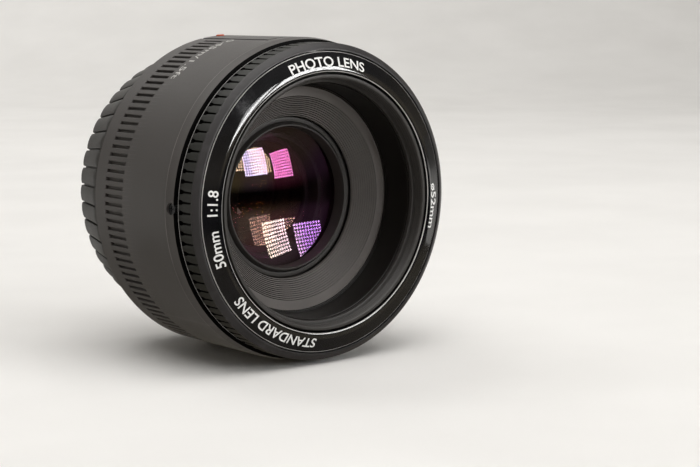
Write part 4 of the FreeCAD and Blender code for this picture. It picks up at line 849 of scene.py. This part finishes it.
# The height of a capital in the typeface, the relief of a letter and how finely it is cut, in its own units
CAPITAL = 0.73
LETTER_RELIEF = 0.02
LETTER_TOUCHING = 1e-5
CUT_ACROSS, CUT_UP, FIRST_CUT = 0.35, 0.2, 0.1
BOLD = 0.012
FACE_LIFT, BARREL_LIFT, BARREL_RELIEF = 0.012, 0.01, 0.6
# (piece, words, angle of the first letter, angle of the last), in degrees about the axis
FACE_WORDS = (
    ("WordsTop", "PHOTO LENS", 110, 71),
    ("WordsBottom", "STANDARD LENS", 263, 217),
    ("WordsFocal", "50mm", 202, 187),
    ("WordsStop", "1:1.8", 182, 171),
    ("WordsFilter", "ø52mm", 4.5, -15),
)


def letter_mesh(words, height, weight=0.0):
    """Raised letters lying in XY, standing on Y 0, centred in X, cut fine enough to bend round a ring."""
    curve = bpy.data.curves.new("words", "FONT")
    curve.body = words
    curve.size = 1.0
    curve.align_x = "CENTER"
    curve.offset = weight
    curve.extrude = LETTER_RELIEF
    curve.resolution_u = 4
    holder = put_in_scene("words", curve)
    mesh = bpy.data.meshes.new_from_object(holder.evaluated_get(bpy.context.evaluated_depsgraph_get()))
    bpy.data.objects.remove(holder)
    shape = bmesh.new()
    shape.from_mesh(mesh)
    bmesh.ops.remove_doubles(shape, verts=shape.verts, dist=LETTER_TOUCHING)
    for vert in shape.verts:
        vert.co = Vector((vert.co.x * height / CAPITAL, vert.co.y * height / CAPITAL, vert.co.z))
    width = max(abs(v.co.x) for v in shape.verts)
    cuts = [((x, 0, 0), (1, 0, 0)) for x in np.arange(-width, width, CUT_ACROSS)]
    cuts += [((0, y, 0), (0, 1, 0)) for y in np.arange(FIRST_CUT, height, CUT_UP)]
    for place, across in cuts:
        everything = list(shape.verts) + list(shape.edges) + list(shape.faces)
        bmesh.ops.bisect_plane(shape, geom=everything, plane_co=place, plane_no=across)
    return save_shape(shape, mesh), 2 * width


def face_words(name, words, start, end, base=28.2, height=2.0):
    """White letters round the name ring's face, read clockwise, from angle start down to end."""
    mesh, width = letter_mesh(words, height, BOLD)
    middle, span = math.radians((start + end) / 2), math.radians(start - end)
    for vert in mesh.vertices:
        x, up, thick = vert.co
        angle = middle - x / width * span
        radius = base + up
        y = face_height(radius) - (FACE_LIFT + thick)
        vert.co = Vector((radius * math.cos(angle), y, radius * math.sin(angle))) * MM
    tidy_mesh(mesh)
    add_object(name, mesh, WHITE_INK, "optical_unit")


def barrel_words(name, words, start, end, base, height):
    """Small letters on top of the barrel, their tops towards the front, from angle start round to end."""
    mesh, width = letter_mesh(words, height)
    middle, span = math.radians((start + end) / 2), math.radians(end - start)
    for vert in mesh.vertices:
        x, up, thick = vert.co
        angle = middle + x / width * span
        radius = BARREL_RADIUS + BARREL_LIFT + thick * BARREL_RELIEF
        vert.co = Vector((radius * math.cos(angle), base - up, radius * math.sin(angle))) * MM
    tidy_mesh(mesh)
    add_object(name, mesh, GREY_INK, "barrel")


# ---------------------------------------------------------------- set, light and camera

FLOOR_Z = -BARREL_RADIUS * MM
CAMERA_PLACE = (-217.4, -310.1, 40.3)
CAMERA_TURN = (82.37, 0.0, -39.38)
CAMERA_LENS = 87.27
GLASS_CENTRE = Vector((0, -24.6, 0)) * MM
# The cloth, in metres: where it starts, where its two strips meet, where it begins to rise, the radius of
# that bend, how high it goes and half its width
CLOTH_NEAR, CLOTH_SEAM, CLOTH_FAR, CLOTH_BEND, CLOTH_TOP, CLOTH_HALF = -1.5, 0.03, 0.9, 0.8, 2.2, 3.0
WEAVE_SCALE, WEAVE_RELIEF, FOLD_RELIEF = 1400.0, 0.03, 0.8
LAMP_DISTANCE, LAMP_DOTS = 0.9, 10
# A lamp's strength between its dots and at their middles
LAMP_DARK, LAMP_BRIGHT = 0.05, 2.2
# (height of the direction, colour) from straight down to straight up
ROOM = ((-1.0, (0.14, 0.12, 0.10)), (-0.30, (0.16, 0.14, 0.10)), (-0.20, (0.002, 0.002, 0.002)),
        (-0.04, (0.002, 0.002, 0.002)), (0.05, (0.20, 0.17, 0.12)), (0.40, (0.08, 0.075, 0.065)),
        (0.60, (0.18, 0.175, 0.165)), (1.0, (0.20, 0.195, 0.185)))


def make_set():
    """A pale cloth that sweeps up behind the lens into a plain backdrop."""
    s = Shader("PaleCloth")
    place = s.place()
    weave = s.node("ShaderNodeTexWave", {
        "Vector": place, "Scale": WEAVE_SCALE, "Distortion": 1.5, "Detail": 1.0})
    folds = s.noise(place, size=60.0, detail=3.0, roughness=0.5)
    height = s.bump(weave.outputs["Fac"], WEAVE_RELIEF, s.bump(folds, FOLD_RELIEF))
    cloth = s.node("ShaderNodeBsdfPrincipled", {
        "Base Color": s.ramp(folds, (0.3, (0.83, 0.82, 0.805)), (0.7, (0.88, 0.87, 0.855))),
        "Roughness": 0.85, "Normal": height})
    s.finish(cloth.outputs[0])
    bend, far = CLOTH_BEND, CLOTH_FAR
    rise = [(far + bend * math.sin(a), bend - bend * math.cos(a)) for a in np.linspace(0.1, math.pi / 2, 14)]
    # Black and glossy parts mirror the room's lower half in place of the cloth in front
    near = cloth_strip("ClothFront", [(CLOTH_NEAR, 0.0), (CLOTH_SEAM, 0.0)], s.material)
    near.visible_glossy = False
    back = [(CLOTH_SEAM, 0.0), (far, 0.0), *rise, (far + bend, CLOTH_TOP)]
    cloth_strip("ClothBack", back, s.material)


def cloth_strip(name, line, material):
    """A wide strip of cloth along a line of (distance away from the camera, height) points."""
    camera = Vector(CAMERA_PLACE) * MM
    away = Vector((-camera.x, -camera.y, 0)).normalized()
    side = Vector((away.y, -away.x, 0))
    points, faces = [], []
    for along, up in line:
        for edge in (-CLOTH_HALF, CLOTH_HALF):
            spot = away * along + side * edge
            points.append((spot.x, spot.y, FLOOR_Z + up))
    for i in range(len(line) - 1):
        faces.append((2 * i, 2 * i + 1, 2 * i + 3, 2 * i + 2))
    mesh = bpy.data.meshes.new(name)
    mesh.from_pydata(points, [], faces)
    mesh.shade_smooth()
    mesh.materials.append(material)
    strip = put_in_scene(name, mesh)
    return strip


def area_light(name, place, target, size, power, colour=(1, 1, 1), tall=None):
    """A rectangular lamp that points at its target; it is square unless it has a height of its own."""
    light = bpy.data.lights.new(name, "AREA")
    light.shape = "RECTANGLE"
    light.size = size
    light.size_y = tall or size
    light.energy = power
    light.color = colour
    obj = put_in_scene(name, light)
    obj.location = place
    obj.rotation_euler = (Vector(target) - Vector(place)).to_track_quat("-Z", "Y").to_euler()
    return light


def panel_direction(azimuth, elevation):
    """The way to a lamp, in degrees: azimuth from the front towards +X, elevation above the horizon."""
    a, e = math.radians(azimuth), math.radians(elevation)
    return Vector((math.sin(a) * math.cos(e), -math.cos(a) * math.cos(e), math.sin(e)))


def lamp_panel(name, azimuth, elevation, size, power):
    """A panel lamp whose face is a square grid of small lamps, as a video light has."""
    place = GLASS_CENTRE + panel_direction(azimuth, elevation) * LAMP_DISTANCE
    light = area_light(name, place, GLASS_CENTRE, size, power)
    light.use_nodes = True
    grid = Nodes(light.node_tree)
    emission = next(n for n in light.node_tree.nodes if n.type == "EMISSION")
    spot = grid.node("ShaderNodeNewGeometry").outputs["Parametric"]
    split = grid.node("ShaderNodeSeparateXYZ", {0: spot})
    waves = []
    for axis in ("X", "Y"):
        turns = grid.node("ShaderNodeMath", {0: split.outputs[axis], 1: LAMP_DOTS * TURN},
                          operation="MULTIPLY")
        waves.append(grid.node("ShaderNodeMath", {0: turns.outputs[0]}, operation="COSINE").outputs[0])
    level = grid.spread(grid.add(*waves), LAMP_DARK, LAMP_BRIGHT, source=(0.4, -1.2))
    grid.feed(emission.inputs["Strength"], level)


def make_world():
    """A dim room: a pale ceiling, a dark band below eye level and the cloth's glow from beneath."""
    world = bpy.data.worlds.new("Room")
    world.use_nodes = True
    room = Nodes(world.node_tree)
    place = room.node("ShaderNodeTexCoord").outputs["Generated"]
    height = room.node("ShaderNodeSeparateXYZ", {0: place}).outputs["Z"]
    level = room.node("ShaderNodeMapRange", {"Value": height, "From Min": -1.0}).outputs[0]
    stops = [((direction + 1) / 2, colour) for direction, colour in ROOM]
    room.feed(world.node_tree.nodes["Background"].inputs["Color"], room.ramp(level, *stops))
    bpy.context.scene.world = world


def make_lights():
    """A softbox above, a wash on the backdrop, a weak fill, and the two panels that the glass mirrors."""
    area_light("OverheadSoftbox", (-0.05, -0.35, 1.05), (0, 0, 0), size=1.6, power=12.6,
               colour=(1.0, 0.985, 0.96), tall=1.0)
    area_light("BackdropWash", (-0.2, 0.9, 1.2), (0.3, 1.6, 0.1), size=1.0, power=10,
               colour=(1.0, 0.99, 0.97))
    area_light("LeftFill", (-1.1, 0.1, 0.35), (0, 0, 0), size=0.7, power=0.6, colour=(1.0, 0.98, 0.95))
    lamp_panel("PanelLampRight", azimuth=34.5, elevation=13.0, size=0.25, power=1.9)
    lamp_panel("PanelLampFront", azimuth=13.0, elevation=17.0, size=0.27, power=2.0)


def make_camera():
    """The photo's view, solved from the ellipses of the lens's front."""
    data = bpy.data.cameras.new("Camera")
    data.lens = CAMERA_LENS
    data.sensor_width = 36.0
    data.clip_start = 0.01
    camera = put_in_scene("Camera", data)
    camera.location = Vector(CAMERA_PLACE) * MM
    camera.rotation_euler = [math.radians(a) for a in CAMERA_TURN]
    bpy.context.scene.camera = camera
    bpy.context.scene.view_settings.view_transform = "Standard"


# ---------------------------------------------------------------- build

def dress_cad_nodes():
    """Every CAD node that stays gets the finish of its material slot."""
    slots = {row["node"]: row["material_slot"] for row in frame["record"]["subparts"]}
    for name, obj in frame["nodes"].items():
        material = GLASSES.get(name) or MATERIALS[slots[name]]
        if not obj.material_slots:
            obj.data.materials.append(material)
        for slot in obj.material_slots:
            slot.material = material


def main():
    dress_cad_nodes()
    make_barrel()
    make_focus_ring()
    make_name_ring()
    make_filter_thread()
    make_baffle()
    make_front_cell()
    make_glass()
    make_rear_cap()
    for row in FACE_WORDS:
        face_words(*row)
    barrel_words("WordsNear", "0.45m/1.5ft", start=102, end=131.5, base=-14.1, height=1.9)
    make_set()
    make_world()
    make_lights()
    make_camera()


main()
